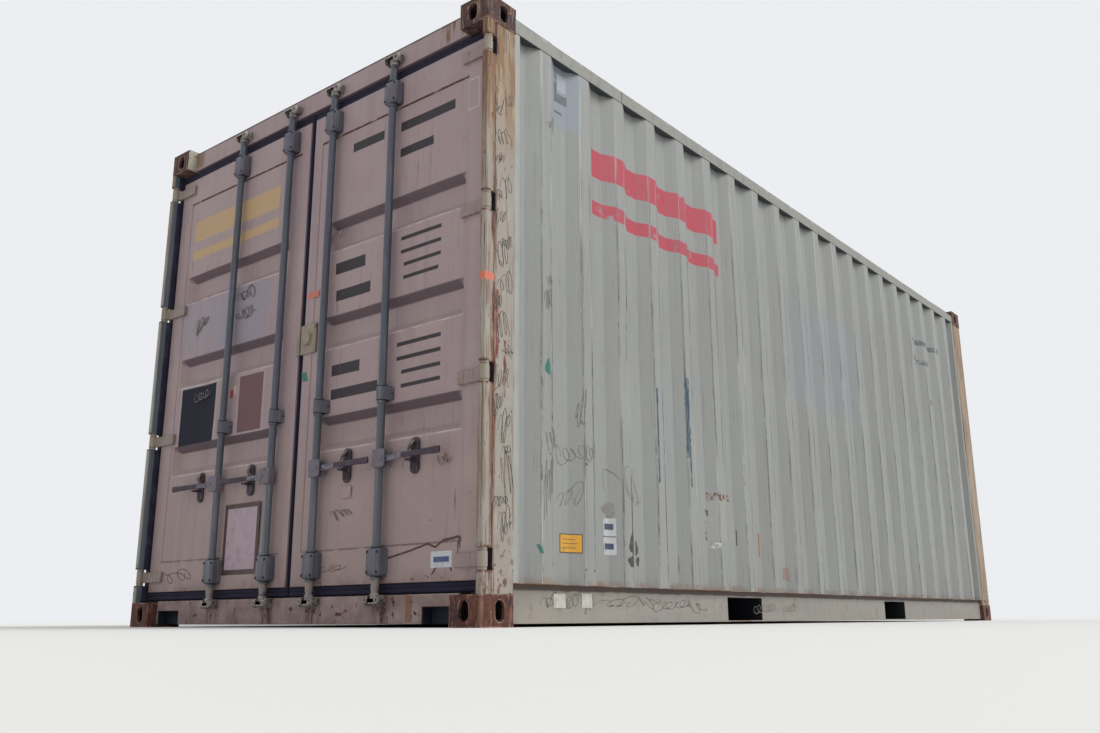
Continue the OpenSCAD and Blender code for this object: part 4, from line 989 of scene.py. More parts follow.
sideWall = {"crest": 72, "valley": 70, "slope": 68, "depth": 36, "fold": 8, "thick": 2,
            "dents": 46, "dentSize": 130, "dentDepth": 5.0, "rows": 54, "firstFold": -2605,
            "endFlat": 34, "endDrop": 24}
frontWall = {"crest": 110, "valley": 104, "slope": 18, "depth": 45.6, "fold": 14, "thick": 2,
             "dents": 14, "dentSize": 140, "dentDepth": 4.0, "rows": 30}
roofSheet = {"crest": 91, "valley": 91, "slope": 13.5, "depth": 20, "fold": 12, "thick": 2,
             "dents": 40, "dentSize": 220, "dentDepth": 5.0, "rows": 24}


railLook = {"low": 2484, "ledge": 2547, "setBack": 36, "wide": 60, "round": 2.0}


def waveStart(low, high, look):
    # the first fold of a wave that is centred between low and high, with whole waves
    pitch = wavePitch(look)
    count = math.floor((high - low - look["crest"]) / pitch)
    return (low + high - count * pitch + look["crest"]) / 2


paints = {
    "side": sheetPaint("alkydSidePaint", sideMarks),
    "end": sheetPaint("alkydEndPaint", lambda: []), "door": doorPaint(), "post": postPaint(),
    "lowCast": castSteel("rustedLowCasting", "#63392D", "#331C1A", "#7C5A42"),
    "highCast": castSteel("rustedHighCasting", "#563A35", "#2B1A1C", "#75655A"),
    "rod": rodPaint("paintedZincRod", "#4F535F"), "bracket": rodPaint("paintedBracket", "#575360"),
    "forged": forgedZinc("forgedZinc", "#8F877F", 0.9), "knob": forgedZinc("rubbedZinc", "#AAA09D", 0.5),
    "handle": handleSteel("darkForgedZinc", "#382A36"),
    "catch": handleSteel("greasyForgedZinc", "#2A1F29"),
    "rivet": dustyCoat("greasyRivet", "#1C1620", "#2B232B", "#3A2A28"), "hinge": hingePaint(),
    "hub": dustyCoat("paleZincHub", "#716B74", "#625B66", "#564A4C"),
    "lead": dustyCoat("creamPlate", "#978B7C", "#82766A", "#5C4B40"),
    "gasket": gasketRubber(), "rail": railPaint(), "plywood": plywood(),
    "under": dustyCoat("bitumenCoat", "#211F1E", "#3A3632", "#5B4234"),
    # the fork pockets' near-black coat is painted shade
    "pocket": dustyCoat("pocketCoat", "#10131D", "#1B202C", "#2C2826"),
}
print("finishes made:", len(paints))


def wallSurface(y, z, side, look=sideWall):
    # X of the side wall's outer skin at the length y and the height z: the wave, which steps up to
    # the crests' level on a short flat beside each post
    outer = frameBox("right_side_wall")[1][0]
    down = ribDepth(y, look["firstFold"], look)
    down = down * np.clip((frontLine - look["endFlat"] - np.abs(y)) / look["endDrop"], 0, 1)
    low, high = frameBox("right_side_wall")
    held = np.sin(np.clip((z - low[2]) / (high[2] - low[2]), 0, 1) * math.pi) ** 0.5
    pressed = dents(y, z, look, 11 if side > 0 else 12, (rearLine, frontLine), (low[2], high[2]))
    return side * (outer - down * look["depth"] - pressed * held)


def sideWalls():
    look = sideWall
    low = frameBox("right_side_wall")[0]
    flatEnd = frontLine - look["endFlat"]
    ends = [sign * (flatEnd - back) for sign in (-1, 1) for back in (0, look["endDrop"])]
    y = ribStations(rearLine, frontLine, look["firstFold"], look, ends)
    z = np.linspace(low[2], railLook["low"] + 1, look["rows"])
    y, z = np.meshgrid(y, z, indexing="ij")
    for side, name in sides:
        x = wallSurface(y, z, side)
        sheet = sheetOf(xyz(x, y, z), xyz(x - side * look["thick"], y, z))
        makePiece(name + "_wall_sheet", [sheet], "side", stands=[name + "_side_wall"], sharp=50)


def frontWallSheet():
    look = frontWall
    low, high = frameBox("front_wall")
    start = waveStart(low[0], high[0], look)
    x = ribStations(low[0], high[0], start, look)
    z = np.linspace(low[2], high[2], look["rows"])
    x, z = np.meshgrid(x, z, indexing="ij")
    down = ribDepth(x, start, look)
    pressed = dents(x, z, look, 21, (low[0], high[0]), (low[2], high[2]))
    held = np.sin(np.clip((z - low[2]) / (high[2] - low[2]), 0, 1) * math.pi) ** 0.5
    y = high[1] - down * look["depth"] - pressed * held
    sheet = sheetOf(xyz(x, y, z), xyz(x, y - look["thick"], z))
    makePiece("front_wall_sheet", [sheet], "end", stands=["front_wall"], sharp=50)


def roof():
    look = roofSheet
    high = frameBox("roof_panel")[1]
    railIn = frameBox("top_side_rails")[1][0] - railLook["wide"]
    start = waveStart(rearLine, frontLine, look)
    y = ribStations(rearLine, frontLine, start, look)
    x = np.linspace(-railIn, railIn, look["rows"])
    y, x = np.meshgrid(y, x, indexing="ij")
    down = ribDepth(y, start, look)
    faded = np.clip((railIn - np.abs(x)) / 30, 0, 1)
    pressed = dents(x, y, look, 31, (-railIn, railIn), (rearLine, frontLine))
    z = high[2] - down * look["depth"] * (0.1 + 0.9 * faded) - pressed * faded
    sheet = sheetOf(xyz(x, y, z), xyz(x, y, z - look["thick"]))
    half = (railLook["wide"] - railLook["setBack"]) / 2
    hems = [plate((side * (railIn + half), 0, high[2] - 2), half, frontLine, 0.6, 0, 2, 0.4,
                  (1, 0, 0), (0, 1, 0), (0, 0, 1)) for side in (-1, 1)]
    makePiece("roof_sheet", [sheet] + hems, "end", stands=["roof_panel"], sharp=50)


sideWalls()
frontWallSheet()
roof()
print("corrugated sheets made")


# Doors: pressed panel, welded frame, seal

doorPanel = {"troughHigh": 153, "troughDeep": 36, "border": 32,
             "endOut": 115, "endIn": 131, "fold": 7, "thick": 2, "dents": 22,
             "dentSize": 150, "dentDepth": 3.5}


def troughShare(x, z, look, xLow, xHigh):
    # 0 on the flat sheet and 1 on a trough's bottom: the shorter way to the trough's edge over its
    # border's width, its folds rounded by averaging over a short stretch both ways
    reach = np.linspace(-0.5, 0.5, 5) * look["fold"]
    total = np.zeros(x.shape)
    for level in troughLevels:
        for offX in reach:
            for offZ in reach:
                inX = np.minimum(x + offX - xLow, xHigh - x - offX)
                inZ = look["troughHigh"] / 2 - np.abs(z + offZ - level)
                total += np.clip(np.minimum(inX, inZ) / look["border"], 0, 1)
    return total / len(reach) ** 2


def fineSteps(low, high, step, folds, round):
    # even steps from low to high, with more of them at the folds
    even = np.linspace(low, high, int((high - low) / step / 2) + 2)
    near = (np.array(folds)[:, None] + np.array([-0.6, -0.3, 0, 0.3, 0.6]) * round).ravel()
    values = np.unique(np.round(np.concatenate([even, near]), 2))
    keep = np.concatenate([[True], np.diff(values) > 1.5])
    keep[-1] = True
    return values[keep]


def doorPanels():
    look = doorPanel
    low, high = frameBox("right_door_panel")
    xLow, xHigh = leafLow[0] + look["endIn"], leafHigh[0] - look["endOut"]
    foldsX = [xLow, xLow + look["border"], xHigh - look["border"], xHigh]
    foldsZ = [level + sign * (look["troughHigh"] / 2 - back) for level in troughLevels
              for sign in (-1, 1) for back in (0, look["border"])]
    x = fineSteps(low[0], high[0], 44, foldsX, look["fold"])
    z = fineSteps(low[2], high[2], 34, foldsZ, look["fold"])
    x, z = np.meshgrid(x, z, indexing="ij")
    share = troughShare(x, z, look, xLow, xHigh)
    edge = np.minimum(np.minimum(x - low[0], high[0] - x), np.minimum(z - low[2], high[2] - z))
    for side, name in sides:
        pressed = dents(x, z, look, 41 if side > 0 else 42, (low[0], high[0]), (low[2], high[2]))
        y = low[1] + share * look["troughDeep"] + pressed * np.clip(edge / 60, 0, 1)
        sheet = sheetOf(xyz(side * x, y, z), xyz(side * x, y + look["thick"], z))
        makePiece(name + "_door_sheet", [sheet], "door", name + "_door", "taupe_paint",
                  [name + "_door_panel"], sharp=50)


def ringAround(inner, outer, profile, side, steps=24):
    # a rectangular ring: each point of the profile is (share of the way from the inner rectangle to
    # the outer one, depth), and it is carried round with mitred corners
    corners = np.array([[0, 0], [1, 0], [1, 1], [0, 1]])
    t = np.arange(steps) / steps
    ahead = np.roll(corners, -1, axis=0) - corners
    along = np.concatenate([corners[k] + ahead[k] * t[:, None] for k in range(4)])
    inner, outer = np.array(inner, float), np.array(outer, float)
    inside = inner[0] + along * (inner[1] - inner[0])
    outside = outer[0] + along * (outer[1] - outer[0])
    profile = np.array(profile, float)
    share = profile[None, :, :1]
    flat = inside[:, None] * (1 - share) + outside[:, None] * share
    return loopOf(xyz(side * flat[..., 0], profile[:, 1], flat[..., 1]))


gasketLook = {"lips": 2, "lipHigh": 4.0}


def gaskets():
    # a seal strip with lips that run round the leaf, ridged across its width
    look = gasketLook
    inner = [[leafLow[0], leafLow[2]], [leafHigh[0], leafHigh[2]]]
    outer = [[gasketLow[0], gasketLow[2]], [gasketHigh[0], gasketHigh[2]]]
    share = np.linspace(0.0, 1.0, 8 * look["lips"] + 1)
    ridge = np.abs(np.sin(share * look["lips"] * math.pi)) ** 0.6 * look["lipHigh"]
    front = np.stack([share, gasketLow[1] + look["lipHigh"] - ridge], -1)
    back = np.array([[1.0, gasketHigh[1]], [0.0, gasketHigh[1]]])
    for side, name in sides:
        makePiece(name + "_door_seal", [ringAround(inner, outer, np.concatenate([front, back]), side)],
                  "gasket", name + "_door", "gasket_rubber", [name + "_door_gasket"], sharp=70)


doorFrameLook = {"round": 0.03, "bow": 2.0, "beadRadius": 2.6}


def doorFrames():
    # the welded frame of hollow bars: a flat band with rounded rims, carried round the leaf, and the
    # weld beads that hold the sheet
    look = doorFrameLook
    low, high = frameBox("right_door_panel")
    inner = [[low[0], low[2]], [high[0], high[2]]]
    outer = [[leafLow[0], leafLow[2]], [leafHigh[0], leafHigh[2]]]
    bend = np.linspace(0, math.pi / 2, 4)
    rim = np.stack([look["round"] * (1 - np.cos(bend)), leafLow[1] + look["bow"] * (1 - np.sin(bend))], -1)
    profile = np.concatenate([[[0, leafHigh[1]]], rim, rim[::-1] * [-1, 1] + [1, 0], [[1, leafHigh[1]]]])
    radius, face = look["beadRadius"], low[1] - 0.6
    corners = [(low[0], low[2]), (high[0], low[2]), (high[0], high[2]), (low[0], high[2])]
    for side, name in sides:
        makePiece(name + "_leaf_bars", [ringAround(inner, outer, profile, side)], "door",
                  name + "_door", "taupe_paint", [name + "_door_frame"])
        beads = [bead((side * a[0], face, a[1]), (side * b[0], face, b[1]), radius, seed=k,
                      across=(0, 1, 0))
                 for k, (a, b) in enumerate(zip(corners, corners[1:] + corners[:1]))]
        makePiece(name + "_door_welds", beads, "door", name + "_door", "taupe_paint")


doorPanels()
gaskets()
doorFrames()
print("doors made")


# Lock gear

rodLook = {"radius": 17.0, "collar": 21.5, "collarHigh": 11, "neck": 14.5, "sides": 28}
camLook = {"high": 34.0, "base": 19.0, "nose": 26.0, "noseSpread": 0.42, "heel": 1.2, "heelTurn": 2.3,
           "heelSpread": 0.35, "sides": 40, "levels": [0, 1.5, 4, 12, 17, 22, 30, 32.5, 34],
           "squeeze": [0.82, 0.92, 1, 1, 0.9, 1, 1, 0.92, 0.82]}
bracketLook = {"spans": ((199, 311), (2289, 2400)), "guide": (921, 979), "halfWide": 44, "saddle": 24.0,
               "flange": 42, "flank": 33, "baseThick": 5.0, "rivet": 7.0, "front": 24.5, "crown": 1.6,
               "cornerRound": 12}


def rodSkin(x, low, high):
    # the bar's radius along its height: plain, with a collar above and below each bracket
    look, holds = rodLook, bracketLook
    marks = []
    for foot, head in (*holds["spans"], holds["guide"]):
        for sign, rim in ((-1, foot), (1, head)):
            start = rim + sign
            end = start + sign * look["collarHigh"]
            for z, radius in ((start - sign * 0.5, look["radius"]), (start, look["collar"] - 1),
                              (start + sign * 1.5, look["collar"]), (end - sign * 1.5, look["collar"]),
                              (end, look["collar"] - 1), (end + sign * 0.5, look["radius"])):
                marks.append((z, radius))
    marks += [(low + 30, look["neck"]), (low + 44, look["neck"]), (low + 50, look["radius"])]
    marks += [(high - 30, look["neck"]), (high - 44, look["neck"]), (high - 50, look["radius"])]
    marks = np.array(sorted(marks))
    angle = circle(look["sides"])
    return tube(xyz(x + marks[:, 1:] * np.cos(angle), rodDepth + marks[:, 1:] * np.sin(angle),
                    marks[:, :1]))


def camSkin(x, low, way):
    # a forged cam: a round boss whose radius swells towards the nose and towards a smaller heel, the
    # swelling going as a bell curve of the angle, and its rims rounded
    look = camLook
    angle = circle(look["sides"])
    off = np.abs((angle + math.pi) % (2 * math.pi) - math.pi)
    heel = np.abs((angle - look["heelTurn"] + math.pi) % (2 * math.pi) - math.pi)
    reach = (look["base"] + (look["nose"] - look["base"]) * np.exp(-(off / look["noseSpread"]) ** 2)
             + look["heel"] * np.exp(-(heel / look["heelSpread"]) ** 2))
    level = np.array(look["levels"]) / look["levels"][-1] * look["high"]
    radius = np.array(look["squeeze"])[:, None] * reach
    return tube(xyz(x + way * radius * np.cos(angle), rodDepth + radius * np.sin(angle),
                    (low + level)[:, None]))


hubLook = {"high": 76, "reach": 52, "heel": 20, "ear": 8, "frontEar": 24, "backEar": -8, "corner": 11,
           "barrel": 19.5, "web": 17, "bolt": 34, "boltRadius": 10, "shank": 5.9}


def hubSkin(x, way):
    # the forked hub: two round-cornered ears and a barrel round the rod, with a bolt through the ears
    look = hubLook
    half = look["high"] / 2
    wide = (look["reach"] + look["heel"]) / 2
    middle = (x + way * (look["reach"] - look["heel"]) / 2, rodDepth, handleLevel)
    boltPlace = (x + way * look["bolt"], rodDepth, handleLevel)
    front = plate(middle, wide, half, look["corner"], look["frontEar"] - look["ear"],
                  look["frontEar"], 2.0)
    back = plate(middle, wide, half, look["corner"], look["backEar"] - 4, look["backEar"], 1.5)
    rim = look["barrel"] - 2
    barrel = turned((x, rodDepth - 4, handleLevel),
                    [(-half, rim), (-half + 2, look["barrel"]), (half - 2, look["barrel"]), (half, rim)],
                    (0, 0, 1), 28)
    web = plate((x - way * look["web"], rodDepth, handleLevel), 3.5, half - 1, 3, -10, 22, 1.5)
    size = look["boltRadius"]
    bolt = turned(boltPlace, [(23, size), (26.4, size), (27.6, size - 1.4)], sides=24, flats=6)
    shank = turned(boltPlace, [(-12, look["shank"]), (24, look["shank"])], sides=16)
    return [front, back, barrel, web, bolt, shank]


def lockRods():
    for name, x, way in zip(rodBodies, rodPlaces, rodWays):
        low, high = frameBox(name + "_rod")
        bar = [rodSkin(x, low[2], high[2])]
        makePiece(name + "_bar", bar, "rod", name + "_rod", "lock_steel", [name + "_rod"])
        cams = [camSkin(x, low[2], way), camSkin(x, high[2] - camLook["high"], way)]
        makePiece(name + "_cams", cams, "knob", name + "_rod", "lock_steel", sharp=50)
        makePiece(name + "_hub", hubSkin(x, way), "hub", name + "_rod", "lock_steel")


handleLook = {
    "tipBack": -24, "rootBack": -9.5, "bend": (94, 160), "squared": 0.4, "sides": 20,
    "far": [20, 24, 34, 52, 74, 94, 112, 135, 160, 200, 250, 300, 340, 358, 366, 370],
    "thick": ([20, 34, 60, 94, 160, 340, 366, 370], [16, 20, 17, 12, 11, 11, 11, 9]),
    "tall": ([20, 34, 70, 100, 170, 300, 345, 366, 370], [17, 25, 27, 23, 22, 25, 28, 28, 25]),
}


def handleSkin(x, way):
    # a forged lever: a rounded section carried along a path that steps outwards, swelling at the
    # root and at the grip's end
    look = handleLook
    far = np.array(look["far"])
    rise = np.clip((far - look["bend"][0]) / (look["bend"][1] - look["bend"][0]), 0, 1)
    rise = rise * rise * (3 - 2 * rise)
    front = look["rootBack"] + rise * (look["tipBack"] - look["rootBack"])
    thick, tall = np.interp(far, *look["thick"]), np.interp(far, *look["tall"])
    angle = circle(look["sides"])
    across = np.sign(np.cos(angle)) * np.abs(np.cos(angle)) ** look["squared"]
    upward = np.sign(np.sin(angle)) * np.abs(np.sin(angle)) ** look["squared"]
    y = rodDepth + (front + thick / 2)[:, None] + across * thick[:, None] / 2
    z = handleLevel + upward * tall[:, None] / 2
    return tube(xyz(x + way * far[:, None], y, z))


def lockHandles():
    for name, x, way in zip(rodBodies, rodPlaces, rodWays):
        makePiece(name + "_lever", [handleSkin(x, way)], "handle", name + "_handle",
                  "handle_steel", [name + "_handle"], sharp=50)


catchLook = {"reach": 185, "out": 3, "halfWide": 25, "halfHigh": 75, "thick": 8, "rim": 7, "shelf": -19.6,
             "shelfHalf": 17, "shelfFront": 47, "pin": 50, "pinRadius": 11, "pinHigh": 7}


def catchParts(x, way):
    # an oval dished plate, a shelf under the lever, and a pale hooked finger on a pin above it
    look = catchLook
    place, back = x + way * look["reach"], doorFace + look["out"]
    middle = (place, back, handleLevel)
    wide, high, thick = look["halfWide"], look["halfHigh"], look["thick"]
    base = plate(middle, wide, high, wide, 0, thick, 2.5)
    wide, high = wide - look["rim"], high - look["rim"]
    rim = plate(middle, wide, high, wide, thick - 1, thick + 2, 1.5)
    shelf = plate((place, back, handleLevel + look["shelf"]), look["shelfHalf"], 5, 4.5, 4,
                  look["shelfFront"], 2)
    pin = domeHead((place, back - thick - 1, handleLevel + look["pin"]), look["pinRadius"],
                   look["pinHigh"])
    return [base, rim, shelf, pin]


fingerLook = {"lean": 20, "swing": 3, "top": 62, "drop": 42, "out": 14, "bow": 14, "steps": 14, "sides": 12,
              "wide": ([0, 0.15, 0.6, 1], [7, 12, 9, 5]), "deep": ([0, 0.2, 0.8, 1], [3, 5, 5, 3])}


def fingerSkin(x, way):
    # the hook: a rounded section that leaves the pin, bows outwards and comes down on the lever's side
    look = fingerLook
    t = np.linspace(0, 1, look["steps"])[:, None]
    angle = circle(look["sides"])
    wide, deep = np.interp(t, *look["wide"]), np.interp(t, *look["deep"])
    middle = x + way * (catchLook["reach"] - look["lean"] * t ** 1.5 + look["swing"] * np.sin(t * math.pi))
    front = doorFace + catchLook["out"] - look["out"] - look["bow"] * np.sin(t * math.pi * 0.75)
    level = handleLevel + look["top"] - look["drop"] * t
    return tube(xyz(middle + wide * np.cos(angle), front + deep * np.sin(angle), level))


def catches():
    for side, name in sides:
        places = [x for x in rodPlaces if x * side > 0]
        plates = [part for x in places for part in catchParts(x, side)]
        makePiece(name + "_catch_plates", plates, "catch", name + "_door", "handle_steel",
                  [name + "_handle_catches"])
        makePiece(name + "_catch_fingers", [fingerSkin(x, side) for x in places], "forged",
                  name + "_door", "handle_steel", sharp=60)


def saddle(x, foot, head, base):
    # a pressed strap round the rod: flanges on the base, flanks and a round front, carried upwards
    # with its rims drawn in
    look = bracketLook
    r = look["saddle"]
    turn = np.linspace(math.radians(20), math.radians(160), 13)
    front = np.stack([r * np.cos(turn), -r * np.sin(turn)], -1)
    root = base - rodDepth - look["baseThick"]
    flange = np.array([[look["flange"], root + 1], [look["flange"], root - 4], [look["flank"], root - 4.5]])
    outline = np.concatenate([flange, front, flange[::-1] * [-1, 1]])
    level = (foot + head) / 2 + np.array([-0.5, -0.485, -0.45, 0.45, 0.485, 0.5]) * (head - foot)
    squeeze = np.array([0.93, 0.98, 1, 1, 0.98, 0.93])[:, None]
    return tube(xyz(x + outline[:, 0] * squeeze, rodDepth + outline[:, 1] * squeeze, level[:, None]))


def retainer(x, foot, head, base):
    # the cover plate over the rod: rings of a round-cornered rectangle from the flared root to the
    # front, whose middle stands out a little, as (share of the width, distance in front of the rod)
    look = bracketLook
    half = (head - foot) / 2
    root = base - rodDepth
    front = look["front"]
    rings = np.array([[1.0, 8 - root], [0.95, 2], [0.94, 12], [0.93, front - 9], [0.88, front - 4.5],
                      [0.78, front - 1.8], [0.5, front], [0.25, front + 0.8],
                      [0.03, front + look["crown"]]])
    points = []
    for share, out in rings:
        wide = look["halfWide"] * share
        high = (half - 1) * (min(share + 0.06, 1) if share > 0.6 else share)
        shape = roundedBox(wide - 2, high, min(look["cornerRound"], wide * 0.4))
        points.append(xyz(x + shape[:, 0], rodDepth - out, (foot + head) / 2 + shape[:, 1]))
    return tube(np.array(points))


def brackets():
    look = bracketLook
    for side, name in sides:
        parts, rivets = [], []
        for x in [x for x in rodPlaces if x * side > 0]:
            for foot, head in look["spans"]:
                middle, half = (foot + head) / 2, (head - foot) / 2
                parts.append(plate((x, doorFace, middle), look["halfWide"], half, 8, 0,
                                   look["baseThick"], 1.5))
                parts.append(retainer(x, foot, head, doorFace))
                out = rodDepth - look["front"] + look["crown"]
                rivets += [domeHead((x + across * 29, out, middle + up * (half - 16)), look["rivet"], 3.0)
                           for across in (-1, 1) for up in (-1, 1)]
            foot, head = look["guide"]
            middle, half = (foot + head) / 2, (head - foot) / 2
            face = doorFace + 3
            parts.append(plate((x, face, middle), look["halfWide"], half, 8, 0, look["baseThick"], 1.5))
            parts.append(saddle(x, foot, head, face))
            rivets += [domeHead((x + across * 38, face - look["baseThick"], middle), look["rivet"], 5.0)
                       for across in (-1, 1)]
        makePiece(name + "_brackets", parts, "bracket", name + "_door", "lock_steel",
                  [name + "_rod_brackets"])
        makePiece(name + "_bracket_rivets", rivets, "rivet", name + "_door", "lock_steel")


def sealPlates():
    for _, name in sides:
        softened(name + "_seal_plate", 2.0, "lead", name + "_door")


lockRods()
lockHandles()
catches()
brackets()
sealPlates()
softened("cam_keepers", 3.0, "forged", "container", segments=3)
keeperKnob = {"radius": 19.0, "hole": 7.0, "across": 34.0}


def keeperKnobs():
    # a pale forged boss with a hole on each keeper's cheeks: a ring's profile turned round its axis
    look = keeperKnob
    ring = [(-8, look["radius"]), (2, look["radius"]), (4, look["radius"] - 2.5), (4, look["hole"] + 2),
            (2.5, look["hole"]), (-6, look["hole"] - 0.5)]
    knobs = []
    low, high = frameBox("cam_keepers")
    for x in rodPlaces:
        for sign, z, size in ((1, high[2] - 24, 1.0), (-1, low[2] + 22, 0.72), (1, low[2] + 22, 0.72)):
            middle = (x + sign * look["across"], low[1] - 1, z)
            knobs.append(turned(middle, np.array(ring) * [1, size], sides=22))
    makePiece("keeper_knobs", knobs, "knob", "container", "lock_steel", sharp=50)


keeperKnobs()
for _, name in sides:
    softened(name + "_hinge_blades", 2.5, "hinge", name + "_door")
softened("hinge_lugs", 1.5, "hinge", "container")
print("lock gear and hinges made")


# Frame of the box

cornerPlate = {"wide": 230, "long": 300, "thick": 3, "corner": 8}


def railPart():
    # the top side rails: a hollow square bar with a ledge outside, and its upper part set back below
    # the roof's hem; the profile is carried along the wall
    look = railLook
    low, high = frameBox("top_side_rails")
    edge, back, inside = high[0], high[0] - look["setBack"], high[0] - look["wide"]
    profile = np.array([[edge, look["low"]], [edge, look["ledge"]], [back, look["ledge"]], [back, high[2]],
                        [inside, high[2]], [inside, look["low"]]])
    along = np.linspace(rearLine, frontLine, 40)
    bars = [tube(xyz(side * profile[:, 0], along[:, None], profile[:, 1])) for side in (1, -1)]
    piece = makePiece("top_rail_bars", bars, "rail", stands=["top_side_rails"])
    rounded(piece, look["round"], 3)


def cornerPlates():
    # thin doubling plates on the roof behind each top casting
    look = cornerPlate
    high = frameBox("roof_corner_plates")[1]
    edge = frameBox("top_side_rails")[1][0] - railLook["setBack"]
    wide, long = look["wide"] / 2, look["long"] / 2
    plates = [plate((sideX * (edge - wide), sideY * (frontLine - long), high[2] - 3),
                    wide, long, look["corner"], 0, look["thick"], 0.8,
                    (1, 0, 0), (0, 1, 0), (0, 0, 1)) for sideX in (-1, 1) for sideY in (-1, 1)]
    makePiece("roof_doublers", plates, "end", stands=["roof_corner_plates"])


edgedParts = {  # rounding in mm, finish, slot
    "rear_bottom_castings": (3.5, "lowCast", "casting"),
    "rear_top_castings": (3.5, "highCast", "casting"),
    "front_bottom_castings": (3.5, "lowCast", "casting"),
    "front_top_castings": (3.5, "highCast", "casting"),
    "right_rear_post": (7.0, "post", "cream_paint"),
    "left_rear_post": (7.0, "post", "cream_paint"),
    "front_posts": (6.0, "post", "cream_paint"),
    "door_header": (4.0, "door", "taupe_paint"),
    "door_sill": (4.0, "door", "taupe_paint"),
    "front_end_rails": (4.0, "rail", "cream_paint"),
}
for node, (width, paint, slotName) in edgedParts.items():
    softened(node, width, paint, "container", segments=3)
railPart()
softened("right_bottom_rail", 1.8, "rail", "container")
softened("left_bottom_rail", 1.8, "rail", "container")
cornerPlates()


for node, paint in (("floor_boards", "plywood"), ("crossmembers", "under"), ("fork_pockets", "pocket")):
    nodes[node].data.materials.clear()
    nodes[node].data.materials.append(paints[paint])
print("frame of the box made")


# Labels, scraps and scribbles: thin pieces that lie on the surface below them

def onWall(y, z, lift):
    return xyz(wallSurface(y, z, 1) + lift, y, z)


def onPost(y, z, lift):
    return xyz(postFace + lift, y, z)


def onRail(y, z, lift):
    return xyz(railFace + lift, y, z)


def onDoor(x, z, lift):
    return xyz(x, doorFace - lift, z)


def home(surface, place):
    # the body and the paint slot of what lies on that surface
    if surface is onDoor:
        return "right_door" if place[0] > 0 else "left_door", "taupe_paint"
    return "container", "cream_paint" if surface is onPost else "grey_paint"


def label(surface, low, high, lean=0.0, lift=0.9, thick=0.5, steps=(16, 12)):
    # a sheet between two corners, its upper edge moved sideways by lean
    u = np.linspace(low[0], high[0], steps[0])
    v = np.linspace(low[1], high[1], steps[1])
    u, v = np.meshgrid(u, v, indexing="ij")
    u = u + lean * (v - low[1]) / (high[1] - low[1])
    return sheetOf(surface(u, v, lift), surface(u, v, lift - thick))


def scrap(surface, middle, size, seed, lift=0.9, thick=0.5):
    # a torn scrap: rings about its middle whose radius wanders with the angle
    random = np.random.default_rng(seed)
    angle = circle(26)
    wander = 1 + 0.16 * np.sin(3 * angle + random.uniform(0, 6)) + 0.1 * random.standard_normal(26)
    share = np.array([0.02, 0.5, 1.0])[:, None]
    u = middle[0] + share * wander * np.cos(angle) * size[0] / 2
    v = middle[1] + share * wander * np.sin(angle) * size[1] / 2
    top = surface(u, v, lift)
    return tube(np.concatenate([top, surface(u[-1:], v[-1:], lift - thick)]))


def scrawl(seed, middle, size, loops, lean=0.0):
    # a pen's aimless line: loops that drift sideways, their height and speed wandering
    random = np.random.default_rng(seed)
    t = np.linspace(0, 1, 20 * loops + 8)
    phase = 2 * math.pi * loops * t + 1.4 * np.sin(2 * math.pi * t * random.uniform(1, 3))
    tall = np.interp(t, np.linspace(0, 1, loops + 2), random.uniform(0.25, 1, loops + 2))
    u = size[0] * (t - 0.5) + 0.6 * size[0] / loops * np.cos(phase + random.uniform(0, 6))
    v = size[1] / 2 * tall * np.sin(phase) + lean * size[1] * (t - 0.5)
    return np.stack([middle[0] + u, middle[1] + v], -1)


def stroke(surface, line, width, lift=0.8, thick=0.5):
    # a flat ribbon along a line on the surface, thinner at both ends
    line = np.array(line, float)
    ahead = np.gradient(line, axis=0)
    ahead /= np.linalg.norm(ahead, axis=1, keepdims=True)
    side = np.stack([-ahead[:, 1], ahead[:, 0]], -1)
    taper = np.linspace(0.05, 1, len(line))
    half = width / 2 * np.clip(8 * np.minimum(taper, taper[::-1]), 0.2, 1)[:, None]
    a, b = line + side * half, line - side * half
    rings = [surface(a[:, 0], a[:, 1], lift), surface(b[:, 0], b[:, 1], lift),
             surface(b[:, 0], b[:, 1], lift - thick), surface(a[:, 0], a[:, 1], lift - thick)]
    return tube(np.stack(rings, 1))


